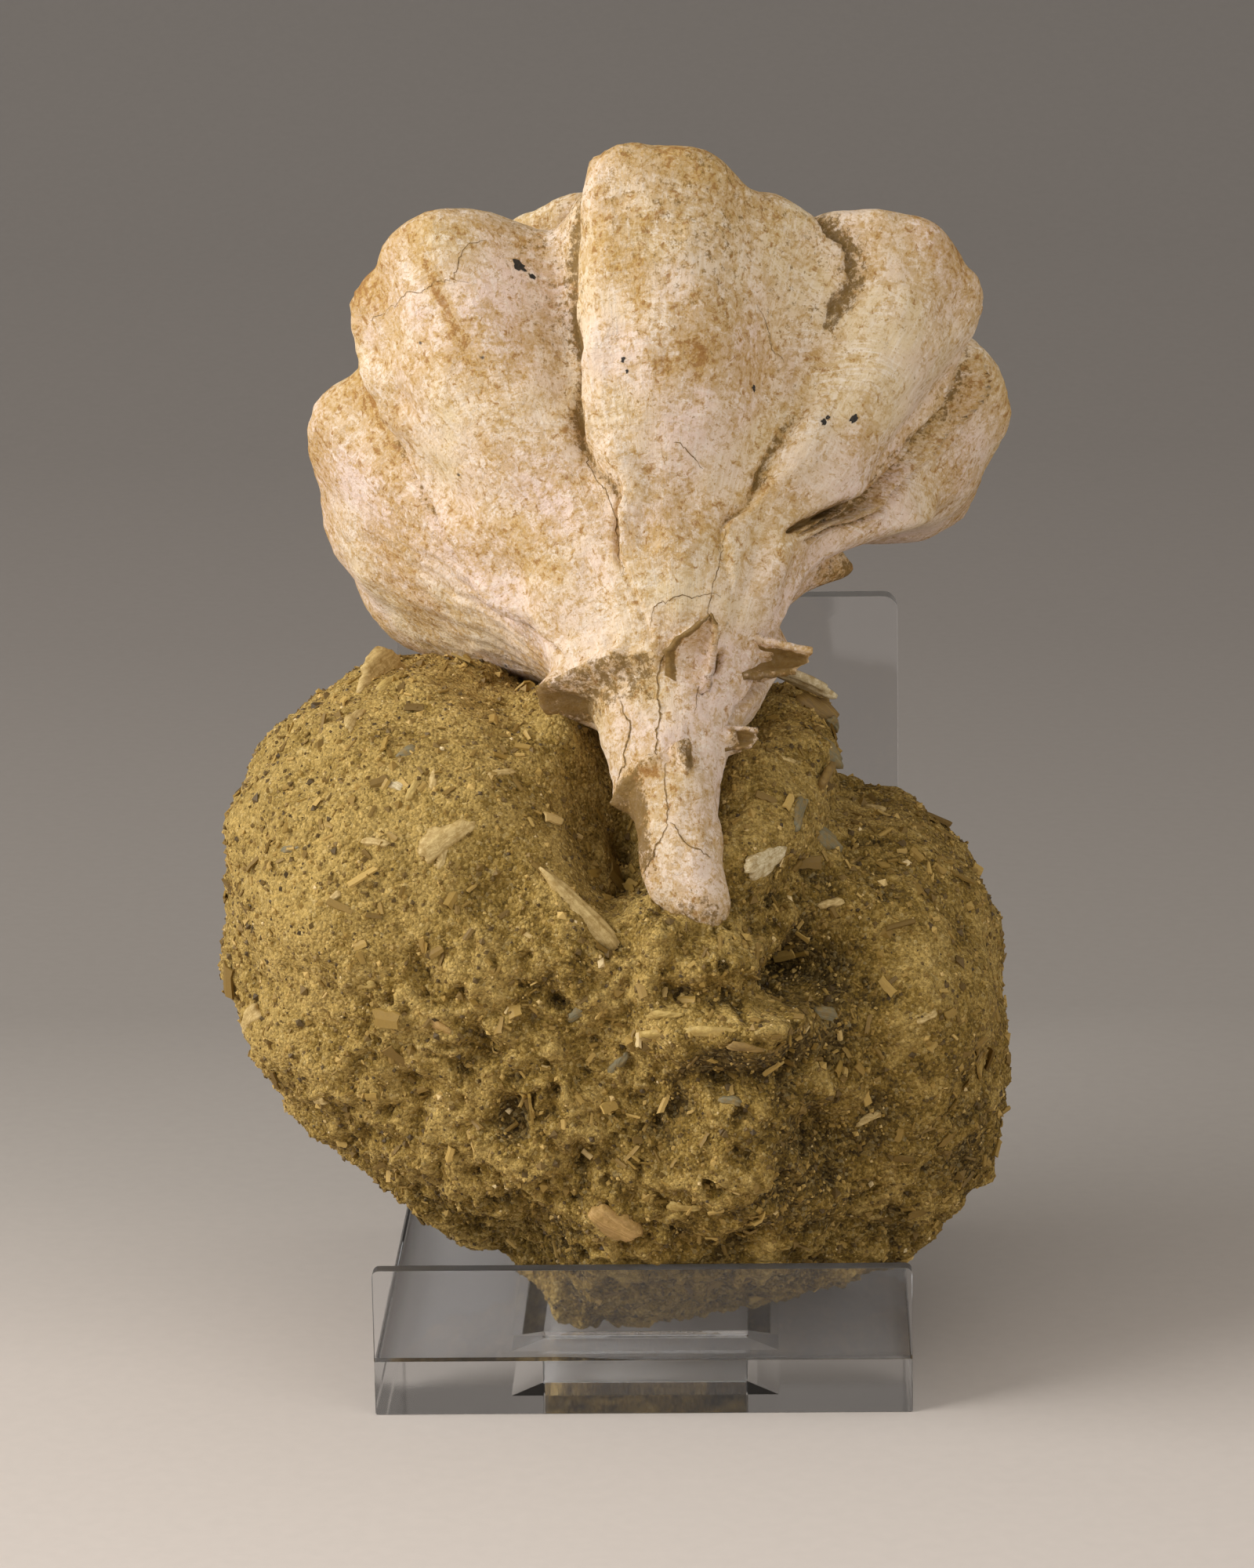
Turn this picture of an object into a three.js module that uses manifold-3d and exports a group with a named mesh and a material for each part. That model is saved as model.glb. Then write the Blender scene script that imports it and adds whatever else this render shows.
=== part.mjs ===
// Fossil purple dye murex bedded in a lump of shelly sandstone, on a clear acrylic stand.
// Millimetres, +Z up. The stand's front edge faces -Y and the canal of the shell points at it.
import * as THREE from 'three';
import { mergeVertices } from 'three/addons/utils/BufferGeometryUtils.js';
import Module from 'manifold-3d';

const wasm = await Module();
wasm.setup();

const DEG = Math.PI / 180;
const GAP = 0.3;

// Acrylic stand; every place below is measured from the middle of its front bottom edge
const STAND_WIDTH = 48;
const BASE_DEPTH = 53;
const BASE_THICK = 5;
const LIP_HEIGHT = 8.5;
const LIP_THICK = 1.5;
const BACK_HEIGHT = 58.6;
const BACK_THICK = 2.5;
const BACK_CORNER = 1.4;
const WINDOW_WIDTH = 18.5;
const WINDOW_FRONT = 9.9;
const WINDOW_BACK = 42;
const BEVEL_WIDE = 2.8;
const BEVEL_DEEP = 0.6;

// Shell: the axis runs from the canal up to the apex; RING is where it meets the ring of knobs.
const RING = new THREE.Vector3(2.3, 36.4, 83.6);
const AXIS_DIP = 37 * DEG;
const APEX_UP = 22;
const WHORL_GROWTH = 1.45;
const OLDEST = 5;
const KNOB_SHIFT = 26;
const OLD_KNOBS = 0.6;
const LIP_ANGLE = -142;
const LIP_FADE = 9;
const CANAL_END = -54;
const CANAL_BEND_FROM = -20;
const CANAL_BEND = 0.0075;
// Sideways sway of the axis along the canal: height, distance to the right
const CANAL_SWAY = [
  [-60, 4.4], [-54, 4.1], [-52, 3.3], [-50, 2.3], [-47, 1.6], [-44, 1.3], [-40, 0.5], [-36, 0.5],
  [-32, 0.9], [-26, 0.4], [-20, 0],
];
const SHELL_SIDES = 56;
const SHELL_ROWS = 34;

// Reach of the shoulder round the last whorl: angle from the top, clockwise seen from the canal
const SHOULDER = [
  [-142, 30], [-118, 32], [-95, 30.4], [-60, 30.8], [-42, 33.2], [-3, 33.1], [19, 31.2], [51, 32.6],
  [84, 30.2],
  [117, 29.8], [131, 26.6], [146, 25], [160, 22.5], [180, 20.5], [200, 21.5], [218, 22.4],
];
// Hollows between the knobs: angle, depth at the shoulder, half width, depth on the flank
const HOLLOWS = [
  { at: -118, deep: 1.6, wide: 7, flank: 0.8 },
  { at: -70, deep: 3.4, wide: 8, flank: 3.6 },
  { at: -21, deep: 7.6, wide: 9, flank: 5.4 },
  { at: 30, deep: 4.4, wide: 10, flank: 3.8 },
  { at: 70, deep: 4.2, wide: 7, flank: 3.6 },
  { at: 101, deep: 1.2, wide: 7, flank: 0.6 },
  { at: 135, deep: 4, wide: 8, flank: 1.2 },
];
// The young side of the last whorl hangs fuller, towards the lip
const BAG = { at: -130, wide: 32, height: -9, tall: 9, rise: 3.4 };

// Each rib swells on the flank before it turns under towards the canal
const SWELLS = [
  { at: -48, wide: 14, level: -14, tall: 7, rise: 1.8 },
  { at: 6, wide: 17, level: -13, tall: 6.5, rise: 2.4 },
  { at: 52, wide: 11, level: -11, tall: 6, rise: 2.6 },
];
// The strong rib on the right stands out as a flange, whose lower edge slants up round the shell,
// and the shell is cut back under it
const FLANGE = { at: 98, wide: 15, level: -9.9, slant: 0.36, rise: 7.5, above: 6.5, below: 2.6 };
const UNDERCUT = { from: 72, full: 92, fading: 140, end: 175, deep: 3.6, drop: 1, soft: 5, tall: 22 };

// Radius along the axis under the shoulder, for a shoulder of FLANK_AT: height, radius
const FLANK_AT = 33.5;
const FLANK = [
  [-60, 0.8], [-54, 1.5], [-51, 3], [-48, 3.5], [-44, 3.7], [-41, 4.5], [-36, 5.7], [-33, 7.2],
  [-27, 11], [-22, 15.2], [-17, 20.2], [-12, 25.4], [-7, 31], [-2, 35.8], [4, 40], [12, 46], [40, 70],
];
// Spines on the canal, and last a low knob under the flange: height and angle of the root, reach from
// the axis, half height and half width at the root, half width left at the broken tip, and lean
// towards the apex in degrees
const SPINES = [
  { height: -31, angle: -86, reach: 12.2, tall: 6.4, wide: 2.6, tip: 0.5, lean: -7 },
  { height: -35.5, angle: 12, reach: 10.8, tall: 4.4, wide: 3, tip: 1.2, lean: 16 },
  { height: -28.4, angle: 84, reach: 13.2, tall: 3, wide: 1.8, tip: 1, lean: -4 },
  { height: -43, angle: -92, reach: 6.8, tall: 2.6, wide: 1.4, tip: 0.3, lean: -8 },
  { height: -43, angle: 3, reach: 5.9, tall: 2, wide: 1.8, tip: 1, lean: 0 },
  { height: -38.3, angle: 78, reach: 7.6, tall: 1.6, wide: 1.3, tip: 0.6, lean: -2 },
  { height: -15, angle: 104, reach: 17, tall: 4, wide: 4, tip: 1.4, lean: 0 },
];
const SPINE_SIDES = 8;
const SPINE_RINGS = 4;
const RAMP_SLOPE = 2.9;
const RAMP_LIFT = 5.7;
const SHOULDER_ROUND = 11;

// Matrix: outline seen from the front as angle (from +X, anticlockwise) and radius about its middle
const ROCK = new THREE.Vector3(-2.6, 24, 31);
const ROCK_FRONT = 28;
const ROCK_BACK = 26.6;
const ROCK_FULL = 2.3;
const ROCK_DETAIL = 10;
const OUTLINE = [
  [-2, 35.2], [18, 35.4], [32, 33], [44, 28.6], [54, 33], [66, 31], [78, 22], [92, 21],
  [103, 29], [118, 36.5], [135, 39.6], [150, 39.8], [163, 36.6], [176, 35.4], [192, 31.4], [210, 27.4],
  [226, 25.4], [243, 24], [259, 27.4], [283, 28.2], [298, 29.4], [318, 34], [339, 36.6],
];
const UNEVEN = 0.7;
// Swellings (positive) and hollows (negative) of the rock: place on the skin, rise, half width
const LUMPS = [
  { x: 8.5, y: -2, z: 38, rise: 4.6, wide: 7.5 },
  { x: 10, y: -2, z: 25, rise: 3.2, wide: 7 },
  { x: 11, y: 4, z: 12, rise: 0.6, wide: 9 },
  { x: 17.5, y: 0, z: 41, rise: -5.5, wide: 5.5 },
  { x: 18.5, y: 2, z: 25, rise: -3.4, wide: 4 },
  { x: 27, y: 6, z: 33, rise: 2.2, wide: 8 },
  { x: -1, y: -2, z: 33, rise: -2.6, wide: 6 },
  { x: -1.5, y: 3, z: 53, rise: -4.5, wide: 5 },
  { x: -4, y: -1, z: 43, rise: 2.2, wide: 6 },
  { x: -5, y: 18, z: 54, rise: 10, wide: 6 },
  { x: -17, y: 1, z: 29, rise: -1.8, wide: 6 },
  { x: -24, y: 6, z: 47, rise: 1.8, wide: 9 },
  { x: -9, y: 4, z: 14, rise: -1.6, wide: 6 },
  { x: -30, y: 40, z: 40, rise: -2.5, wide: 10 },
  { x: 24, y: 42, z: 24, rise: 2, wide: 9 },
  { x: 0, y: 46, z: 38, rise: -2.2, wide: 9 },
];

// Shell fragments in the rock: x and z on its front, half length, half width,
// half thickness, turn in the plane of the skin, lift of the far edge, bend across, depth in the rock
const FRAGMENTS = [
  {
    name: 'fragment_left_shard', x: -24, z: 63.2,
    long: 3.4, wide: 2.0, thick: 0.45, turn: 62, lift: 60, bend: 0.5, sink: 1,
  },
  {
    name: 'fragment_blade_white', x: 15.2, z: 60.2,
    long: 3.2, wide: 1.5, thick: 0.4, turn: -18, lift: 40, bend: 0.3, sink: 1.4,
  },
  {
    name: 'fragment_blade_brown', x: 16.8, z: 54.6,
    long: 2.6, wide: 1.8, thick: 0.4, turn: 12, lift: 35, bend: 0.3, sink: 0.5,
  },
  {
    name: 'fragment_side_flake', x: -35.2, z: 33.5,
    long: 2.2, wide: 1.2, thick: 0.45, turn: 25, lift: 35, bend: 0.3, sink: 0.3,
  },
  {
    name: 'fragment_ribbed_valve', x: -2.3, z: 18.2,
    long: 2.4, wide: 1.5, thick: 0.7, turn: -35, lift: 8, bend: 0.5, sink: 0.1,
  },
  {
    name: 'fragment_long_flake', x: -4.4, z: 46.4,
    long: 4.8, wide: 1.1, thick: 0.4, turn: -27, lift: 22, bend: 0.4, sink: 0.1,
  },
  {
    name: 'fragment_pale_flake', x: 11.4, z: 50.2,
    long: 2.7, wide: 1.1, thick: 0.4, turn: 32, lift: 10, bend: 0.3, sink: 0.2,
  },
  {
    name: 'fragment_grey_oval', x: 16.8, z: 49.8,
    long: 1.8, wide: 1.1, thick: 0.5, turn: 12, lift: 5, bend: 0.3, sink: 0,
  },
  {
    name: 'fragment_grey_flake', x: 14.6, z: 53.4,
    long: 2, wide: 0.9, thick: 0.4, turn: 70, lift: 15, bend: 0.2, sink: 0.4,
  },
  {
    name: 'fragment_curved_edge', x: -16.4, z: 52.4,
    long: 2.8, wide: 1.3, thick: 0.4, turn: 38, lift: 45, bend: 1.2, sink: 0.1,
  },
  {
    name: 'fragment_ledge_flake', x: 5.6, z: 36.9,
    long: 4.8, wide: 1.3, thick: 0.4, turn: 4, lift: 70, bend: 0.5, sink: 0.4,
  },
  {
    name: 'fragment_ledge_sliver', x: 16.4, z: 36.2,
    long: 1.9, wide: 0.9, thick: 0.4, turn: 6, lift: 65, bend: 0.2, sink: 0,
  },
];
const FRAGMENT_SIDES = 9;

function smooth(x) {
  const t = Math.min(1, Math.max(0, x));
  return t * t * (3 - 2 * t);
}

function mix(a, b, t) {
  return a + (b - a) * t;
}

// Value between listed points, eased so that the curve is level at each of them
function easedThrough(points, x) {
  for (let i = 1; i < points.length; i += 1) {
    if (x <= points[i][0]) {
      const [x0, y0] = points[i - 1];
      const [x1, y1] = points[i];
      return mix(y0, y1, smooth((x - x0) / (x1 - x0)));
    }
  }
  return points[points.length - 1][1];
}

// Value on the smooth curve through listed points
function curveThrough(points, x) {
  const last = points.length - 1;
  if (x <= points[0][0]) return points[0][1];
  if (x >= points[last][0]) return points[last][1];
  let i = 0;
  while (points[i + 1][0] < x) i += 1;
  const slope = (a, b) => (points[b][1] - points[a][1]) / (points[b][0] - points[a][0]);
  const m0 = slope(Math.max(0, i - 1), i + 1);
  const m1 = slope(i, Math.min(last, i + 2));
  const span = points[i + 1][0] - points[i][0];
  const t = (x - points[i][0]) / span;
  const t2 = t * t;
  const t3 = t2 * t;
  return (2 * t3 - 3 * t2 + 1) * points[i][1] + (t3 - 2 * t2 + t) * span * m0
    + (3 * t2 - 2 * t3) * points[i + 1][1] + (t3 - t2) * span * m1;
}

function smoothMin(a, b, reach) {
  const h = Math.max(0, reach - Math.abs(a - b)) / reach;
  return Math.min(a, b) - h * h * reach * 0.25;
}

// Angle in degrees brought to the turn that ends at the lip
function turnAngle(angle) {
  let a = angle;
  while (a < LIP_ANGLE) a += 360;
  while (a >= LIP_ANGLE + 360) a -= 360;
  return a;
}

// Radius of one whorl at a height on the axis; older whorls are the same shape, smaller
function whorlRadius(height, angle, age) {
  const shrink = WHORL_GROWTH ** age;
  const a = turnAngle(angle);
  const back = (a - LIP_ANGLE) / 360;
  const fromApex = (APEX_UP + 3.3) * WHORL_GROWTH ** -back;
  const shoulderAt = APEX_UP - fromApex;
  const h = APEX_UP - (APEX_UP - height) * shrink;
  const knobs = hollowDepth(h - shoulderAt, a + KNOB_SHIFT * age) * (age > 0 ? OLD_KNOBS : 1);
  const shoulder = easedThrough(SHOULDER, a) - knobs;
  const share = smooth((h + 32) / 24);
  const flank = curveThrough(FLANK, h - shoulderAt * share) * mix(1, shoulder / FLANK_AT, share);
  const ramp = shoulder + RAMP_LIFT - RAMP_SLOPE * (h - shoulderAt);
  return smoothMin(flank, ramp, SHOULDER_ROUND) / shrink;
}

// Hollows run from between the knobs down the flank, where they are shallower
function hollowDepth(below, angle) {
  let depth = 0;
  for (const hollow of HOLLOWS) {
    const off = (((angle - hollow.at + 540) % 360) - 180) / hollow.wide;
    const fade = smooth((below + 26) / 20);
    depth += Math.exp(-off * off) * mix(hollow.flank, hollow.deep, fade);
  }
  return depth;
}

function shellRadius(height, angle) {
  const a = turnAngle(angle);
  const newest = whorlRadius(height, a, 0);
  const older = whorlRadius(height, a, 1);
  // Past the lip the newest whorl gives way to the one it grew over
  const pastLip = smooth((a - (LIP_ANGLE + 360 - LIP_FADE)) / LIP_FADE);
  const start = mix(newest, whorlRadius(height, LIP_ANGLE, 0), pastLip);
  let body = Math.max(start, older);
  for (let age = 2; age <= OLDEST; age += 1) body = Math.max(body, whorlRadius(height, a, age));
  const side = (((a - BAG.at + 540) % 360) - 180) / BAG.wide;
  const level = (height - BAG.height) / BAG.tall;
  const bag = BAG.rise * Math.exp(-side * side - level * level) * (1 - pastLip);
  return Math.max(0.4, body + bag + swellRise(height, a) + flangeRise(height, a));
}

function swellRise(height, angle) {
  let rise = 0;
  for (const swell of SWELLS) {
    const side = (angle - swell.at) / swell.wide;
    const up = (height - swell.level) / swell.tall;
    rise += swell.rise * Math.exp(-side * side - up * up);
  }
  return rise;
}

// Reach that the flange on the right adds, and that the cut under it takes away
function flangeRise(height, angle) {
  const off = height - FLANGE.level - FLANGE.slant * (angle - FLANGE.at);
  const side = (angle - FLANGE.at) / FLANGE.wide;
  const up = off / (off > 0 ? FLANGE.above : FLANGE.below);
  const round = smooth((angle - UNDERCUT.from) / (UNDERCUT.full - UNDERCUT.from))
    * smooth((UNDERCUT.end - angle) / (UNDERCUT.end - UNDERCUT.fading));
  const along = smooth((-UNDERCUT.drop - off) / UNDERCUT.soft)
    * smooth((off + UNDERCUT.tall) / UNDERCUT.soft);
  return FLANGE.rise * Math.exp(-side * side - up * up) - UNDERCUT.deep * round * along;
}

const AXIS = new THREE.Vector3(0, Math.cos(AXIS_DIP), Math.sin(AXIS_DIP));
const SHELL_TOP = new THREE.Vector3(0, -Math.sin(AXIS_DIP), Math.cos(AXIS_DIP));
const SHELL_RIGHT = new THREE.Vector3(1, 0, 0);

// The axis, which bends a little down and sways along the canal
function axisPoint(height) {
  const past = Math.max(0, CANAL_BEND_FROM - height);
  const point = RING.clone().addScaledVector(AXIS, height);
  point.addScaledVector(SHELL_TOP, -CANAL_BEND * past * past);
  return point.addScaledVector(SHELL_RIGHT, curveThrough(CANAL_SWAY, height));
}

function shellPoint(height, angle, grow) {
  const radius = shellRadius(height, angle) + grow;
  return axisPoint(height)
    .addScaledVector(SHELL_RIGHT, radius * Math.sin(angle * DEG))
    .addScaledVector(SHELL_TOP, radius * Math.cos(angle * DEG));
}

// Closed skin of rings that are capped by a point at each end
function ringSkin(rings, startTip, endTip) {
  const positions = [];
  const sides = rings[0].length;
  const index = [];
  positions.push(...startTip.toArray());
  for (const ring of rings) {
    for (const point of ring) positions.push(...point.toArray());
  }
  positions.push(...endTip.toArray());
  const at = (row, side) => 1 + row * sides + (side % sides);
  const end = 1 + rings.length * sides;
  for (let side = 0; side < sides; side += 1) {
    index.push(0, at(0, side + 1), at(0, side));
    for (let row = 0; row + 1 < rings.length; row += 1) {
      index.push(at(row, side), at(row, side + 1), at(row + 1, side));
      index.push(at(row, side + 1), at(row + 1, side + 1), at(row + 1, side));
    }
    index.push(at(rings.length - 1, side), at(rings.length - 1, side + 1), end);
  }
  const geometry = new THREE.BufferGeometry();
  geometry.setAttribute('position', new THREE.Float32BufferAttribute(positions, 3));
  geometry.setIndex(index);
  return geometry;
}

// Heights of the rows: wide apart on the canal, closer on the body and the spire
function rowHeight(step) {
  return CANAL_END + (APEX_UP - 1 - CANAL_END) * step ** 0.72;
}

function shellSkin(grow) {
  const rings = [];
  for (let row = 0; row < SHELL_ROWS; row += 1) {
    const height = rowHeight(row / (SHELL_ROWS - 1));
    const ring = [];
    for (let side = 0; side < SHELL_SIDES; side += 1) {
      ring.push(shellPoint(height, (360 * side) / SHELL_SIDES, grow));
    }
    rings.push(ring);
  }
  const tip = axisPoint(CANAL_END - 1.5 - grow);
  const apex = axisPoint(APEX_UP + grow);
  return ringSkin(rings, tip, apex);
}

// One spine of the canal: an oval cone that starts inside the canal
function spineSkin(spine, grow) {
  const root = axisPoint(spine.height);
  const out = SHELL_RIGHT.clone().multiplyScalar(Math.sin(spine.angle * DEG))
    .addScaledVector(SHELL_TOP, Math.cos(spine.angle * DEG));
  const across = AXIS.clone().cross(out);
  const dir = out.clone().multiplyScalar(Math.cos(spine.lean * DEG))
    .addScaledVector(AXIS, Math.sin(spine.lean * DEG));
  const rise = dir.clone().cross(across).normalize();
  const rings = [];
  for (let row = 0; row < SPINE_RINGS; row += 1) {
    const t = row / (SPINE_RINGS - 1);
    const taper = (1 - t) ** 0.8;
    const centre = root.clone().addScaledVector(dir, mix(1.5, spine.reach + grow, t));
    const ring = [];
    for (let side = 0; side < SPINE_SIDES; side += 1) {
      const a = (2 * Math.PI * side) / SPINE_SIDES;
      const tall = (spine.tip + (spine.tall - spine.tip) * taper + grow) * Math.cos(a);
      const wide = (spine.tip + (spine.wide - spine.tip) * taper + grow) * Math.sin(a);
      ring.push(centre.clone().addScaledVector(rise, tall).addScaledVector(across, wide));
    }
    rings.push(ring);
  }
  const start = root.clone().addScaledVector(dir, 1.3);
  const tip = root.clone().addScaledVector(dir, spine.reach + grow + 0.3);
  return ringSkin(rings, start, tip);
}

function toSolid(geometry) {
  const plain = geometry.clone();
  plain.deleteAttribute('normal');
  plain.deleteAttribute('uv');
  const merged = mergeVertices(plain, 1e-4);
  const vertProperties = new Float32Array(merged.attributes.position.array);
  const triVerts = new Uint32Array(merged.index.array);
  return new wasm.Manifold(new wasm.Mesh({ numProp: 3, vertProperties, triVerts }));
}

function toGeometry(solid) {
  const mesh = solid.getMesh();
  const geometry = new THREE.BufferGeometry();
  geometry.setAttribute('position', new THREE.Float32BufferAttribute(mesh.vertProperties, 3));
  geometry.setIndex(new THREE.Uint32BufferAttribute(mesh.triVerts, 1));
  return geometry;
}

// Radius of the rock from its middle in a direction
function rockRadius(dir) {
  const flat = Math.hypot(dir.x, dir.z);
  let angle = Math.atan2(dir.z, dir.x) / DEG;
  if (angle < OUTLINE[0][0]) angle += 360;
  const wrap = [...OUTLINE, [OUTLINE[0][0] + 360, OUTLINE[0][1]]];
  const edge = curveThrough(wrap, angle);
  const deep = dir.y < 0 ? ROCK_FRONT : ROCK_BACK;
  const sum = (flat / edge) ** ROCK_FULL + (Math.abs(dir.y) / deep) ** ROCK_FULL;
  const radius = sum ** (-1 / ROCK_FULL);
  const skin = dir.clone().multiplyScalar(radius).add(ROCK);
  let rise = 0;
  for (const lump of LUMPS) {
    const far = Math.hypot(skin.x - lump.x, skin.y - lump.y, skin.z - lump.z) / lump.wide;
    rise += lump.rise * Math.exp(-far * far);
  }
  rise += UNEVEN * Math.sin(0.43 * skin.x + 1.1) * Math.sin(0.39 * skin.y + 0.7) * Math.sin(0.47 * skin.z);
  return radius + rise;
}

function rockSkin() {
  const sphere = new THREE.IcosahedronGeometry(1, ROCK_DETAIL);
  sphere.deleteAttribute('normal');
  sphere.deleteAttribute('uv');
  const ball = mergeVertices(sphere, 1e-4);
  const place = ball.attributes.position;
  const dir = new THREE.Vector3();
  for (let i = 0; i < place.count; i += 1) {
    dir.fromBufferAttribute(place, i).normalize();
    dir.multiplyScalar(rockRadius(dir)).add(ROCK);
    place.setXYZ(i, dir.x, dir.y, dir.z);
  }
  return ball;
}

// Place on the front skin of the rock straight behind x and z
function rockFront(x, z) {
  let inside = ROCK.y;
  let outside = ROCK.y - 60;
  for (let step = 0; step < 24; step += 1) {
    const y = (inside + outside) / 2;
    const out = new THREE.Vector3(x, y, z).sub(ROCK);
    const reach = out.length();
    if (reach < rockRadius(out.normalize())) inside = y;
    else outside = y;
  }
  return new THREE.Vector3(x, inside, z);
}

// Direction square to the rock's skin at a place on its front
function rockNormal(place) {
  const step = 1.2;
  const right = rockFront(place.x + step, place.z).sub(rockFront(place.x - step, place.z));
  const up = rockFront(place.x, place.z + step).sub(rockFront(place.x, place.z - step));
  return right.cross(up).normalize();
}

// Thin curved flake of shell: a rim and a smaller ring on each face
function flake(piece, grow) {
  const long = piece.long + grow;
  const wide = piece.wide + grow;
  const thick = piece.thick + grow;
  const ring = (share, face) => {
    const points = [];
    for (let side = 0; side < FRAGMENT_SIDES; side += 1) {
      const a = (2 * Math.PI * side) / FRAGMENT_SIDES;
      const ragged = 1 + 0.13 * Math.sin(3 * a + piece.long * 5);
      const x = long * share * ragged * Math.cos(a);
      const y = wide * share * ragged * Math.sin(a);
      points.push(new THREE.Vector3(x, y, face * thick - (piece.bend * y * y) / (wide * wide)));
    }
    return points;
  };
  const geometry = ringSkin(
    [ring(0.6, -1), ring(1, -0.5), ring(1, 0.5), ring(0.6, 1)],
    new THREE.Vector3(0, 0, -thick),
    new THREE.Vector3(0, 0, thick),
  );
  return geometry;
}

// Lays a flake on the rock: turned in the plane of the skin, then its far edge lifted out
function placeFlake(geometry, piece) {
  const place = rockFront(piece.x, piece.z);
  const normal = rockNormal(place);
  const right = new THREE.Vector3(1, 0, 0).addScaledVector(normal, -normal.x).normalize();
  const up = normal.clone().cross(right);
  const frame = new THREE.Matrix4().makeBasis(right, up, normal);
  const turn = new THREE.Matrix4().makeRotationZ(piece.turn * DEG);
  const lift = new THREE.Matrix4().makeRotationX(piece.lift * DEG);
  geometry.applyMatrix4(lift);
  geometry.applyMatrix4(turn);
  geometry.applyMatrix4(frame);
  place.addScaledVector(ROCK.clone().sub(place).normalize(), piece.sink);
  geometry.translate(place.x, place.y, place.z);
  return geometry;
}

// Flat sheet with its thickness along Y
function sheet(width, height, thick, corner) {
  const half = width / 2;
  const shape = new THREE.Shape();
  shape.moveTo(-half, 0);
  shape.lineTo(half, 0);
  shape.lineTo(half, height - corner);
  shape.absarc(half - corner, height - corner, corner, 0, Math.PI / 2, false);
  shape.lineTo(-half + corner, height);
  shape.absarc(-half + corner, height - corner, corner, Math.PI / 2, Math.PI, false);
  shape.closePath();
  const geometry = new THREE.ExtrudeGeometry(shape, { depth: thick, bevelEnabled: false, curveSegments: 5 });
  geometry.rotateX(Math.PI / 2);
  geometry.translate(0, thick, 0);
  return geometry;
}

// Frustum between two rectangles, used to cut the window and its bevels
function taperedBlock(low, high, z0, z1) {
  const ring = (r, z) => [
    new THREE.Vector3(r.x0, r.y0, z), new THREE.Vector3(r.x1, r.y0, z),
    new THREE.Vector3(r.x1, r.y1, z), new THREE.Vector3(r.x0, r.y1, z),
  ];
  const middle = (r, z) => new THREE.Vector3((r.x0 + r.x1) / 2, (r.y0 + r.y1) / 2, z);
  return ringSkin([ring(low, z0), ring(high, z1)], middle(low, z0), middle(high, z1));
}

function basePlate() {
  const plate = new THREE.BoxGeometry(STAND_WIDTH, BASE_DEPTH, BASE_THICK);
  plate.translate(0, BASE_DEPTH / 2, BASE_THICK / 2);
  const hole = { x0: -WINDOW_WIDTH / 2, x1: WINDOW_WIDTH / 2, y0: WINDOW_FRONT, y1: WINDOW_BACK };
  const wide = {
    x0: hole.x0 - BEVEL_WIDE, x1: hole.x1 + BEVEL_WIDE, y0: hole.y0 - BEVEL_WIDE, y1: hole.y1 + BEVEL_WIDE,
  };
  const through = taperedBlock(hole, hole, -1, BASE_THICK + 1);
  const above = taperedBlock(hole, wide, BASE_THICK - BEVEL_DEEP, BASE_THICK);
  const below = taperedBlock(wide, hole, 0, BEVEL_DEEP);
  return toSolid(plate).subtract(toSolid(through)).subtract(toSolid(above)).subtract(toSolid(below));
}

const group = new THREE.Group();

function addPiece(name, geometry, color, roughness) {
  const material = new THREE.MeshStandardMaterial({ color, roughness, metalness: 0 });
  const mesh = new THREE.Mesh(geometry, material);
  mesh.name = name;
  group.add(mesh);
  return mesh;
}

function wholeShell(grow) {
  let solid = toSolid(shellSkin(grow));
  for (const spine of SPINES) solid = solid.add(outward(spineSkin(spine, grow)));
  return solid;
}

// A closed skin that came out inside out is turned
function outward(geometry) {
  const solid = toSolid(geometry);
  if (solid.volume() > 0) return solid;
  const index = geometry.index.array;
  for (let i = 0; i < index.length; i += 3) {
    const swap = index[i];
    index[i] = index[i + 1];
    index[i + 1] = swap;
  }
  return toSolid(geometry);
}

// Room that the rock leaves for the stand: plate with its window, lip and back sheet
function standRoom() {
  const plate = new THREE.BoxGeometry(STAND_WIDTH, BASE_DEPTH, BASE_THICK + GAP);
  plate.translate(0, BASE_DEPTH / 2, (BASE_THICK + GAP) / 2);
  const hole = {
    x0: -WINDOW_WIDTH / 2 + GAP, x1: WINDOW_WIDTH / 2 - GAP, y0: WINDOW_FRONT + GAP, y1: WINDOW_BACK - GAP,
  };
  const front = new THREE.BoxGeometry(STAND_WIDTH, LIP_THICK + 2 * GAP, LIP_HEIGHT + GAP);
  front.translate(0, LIP_THICK / 2, BASE_THICK + (LIP_HEIGHT + GAP) / 2);
  const behind = new THREE.BoxGeometry(STAND_WIDTH, BACK_THICK + 2 * GAP, BACK_HEIGHT + GAP);
  behind.translate(0, BASE_DEPTH - BACK_THICK / 2, BASE_THICK + (BACK_HEIGHT + GAP) / 2);
  return toSolid(plate)
    .subtract(toSolid(taperedBlock(hole, hole, -1, BASE_THICK + 1)))
    .add(toSolid(front))
    .add(toSolid(behind));
}

let rock = toSolid(rockSkin()).subtract(wholeShell(GAP + 0.1)).subtract(standRoom());
for (const piece of FRAGMENTS) rock = rock.subtract(outward(placeFlake(flake(piece, GAP), piece)));

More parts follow.
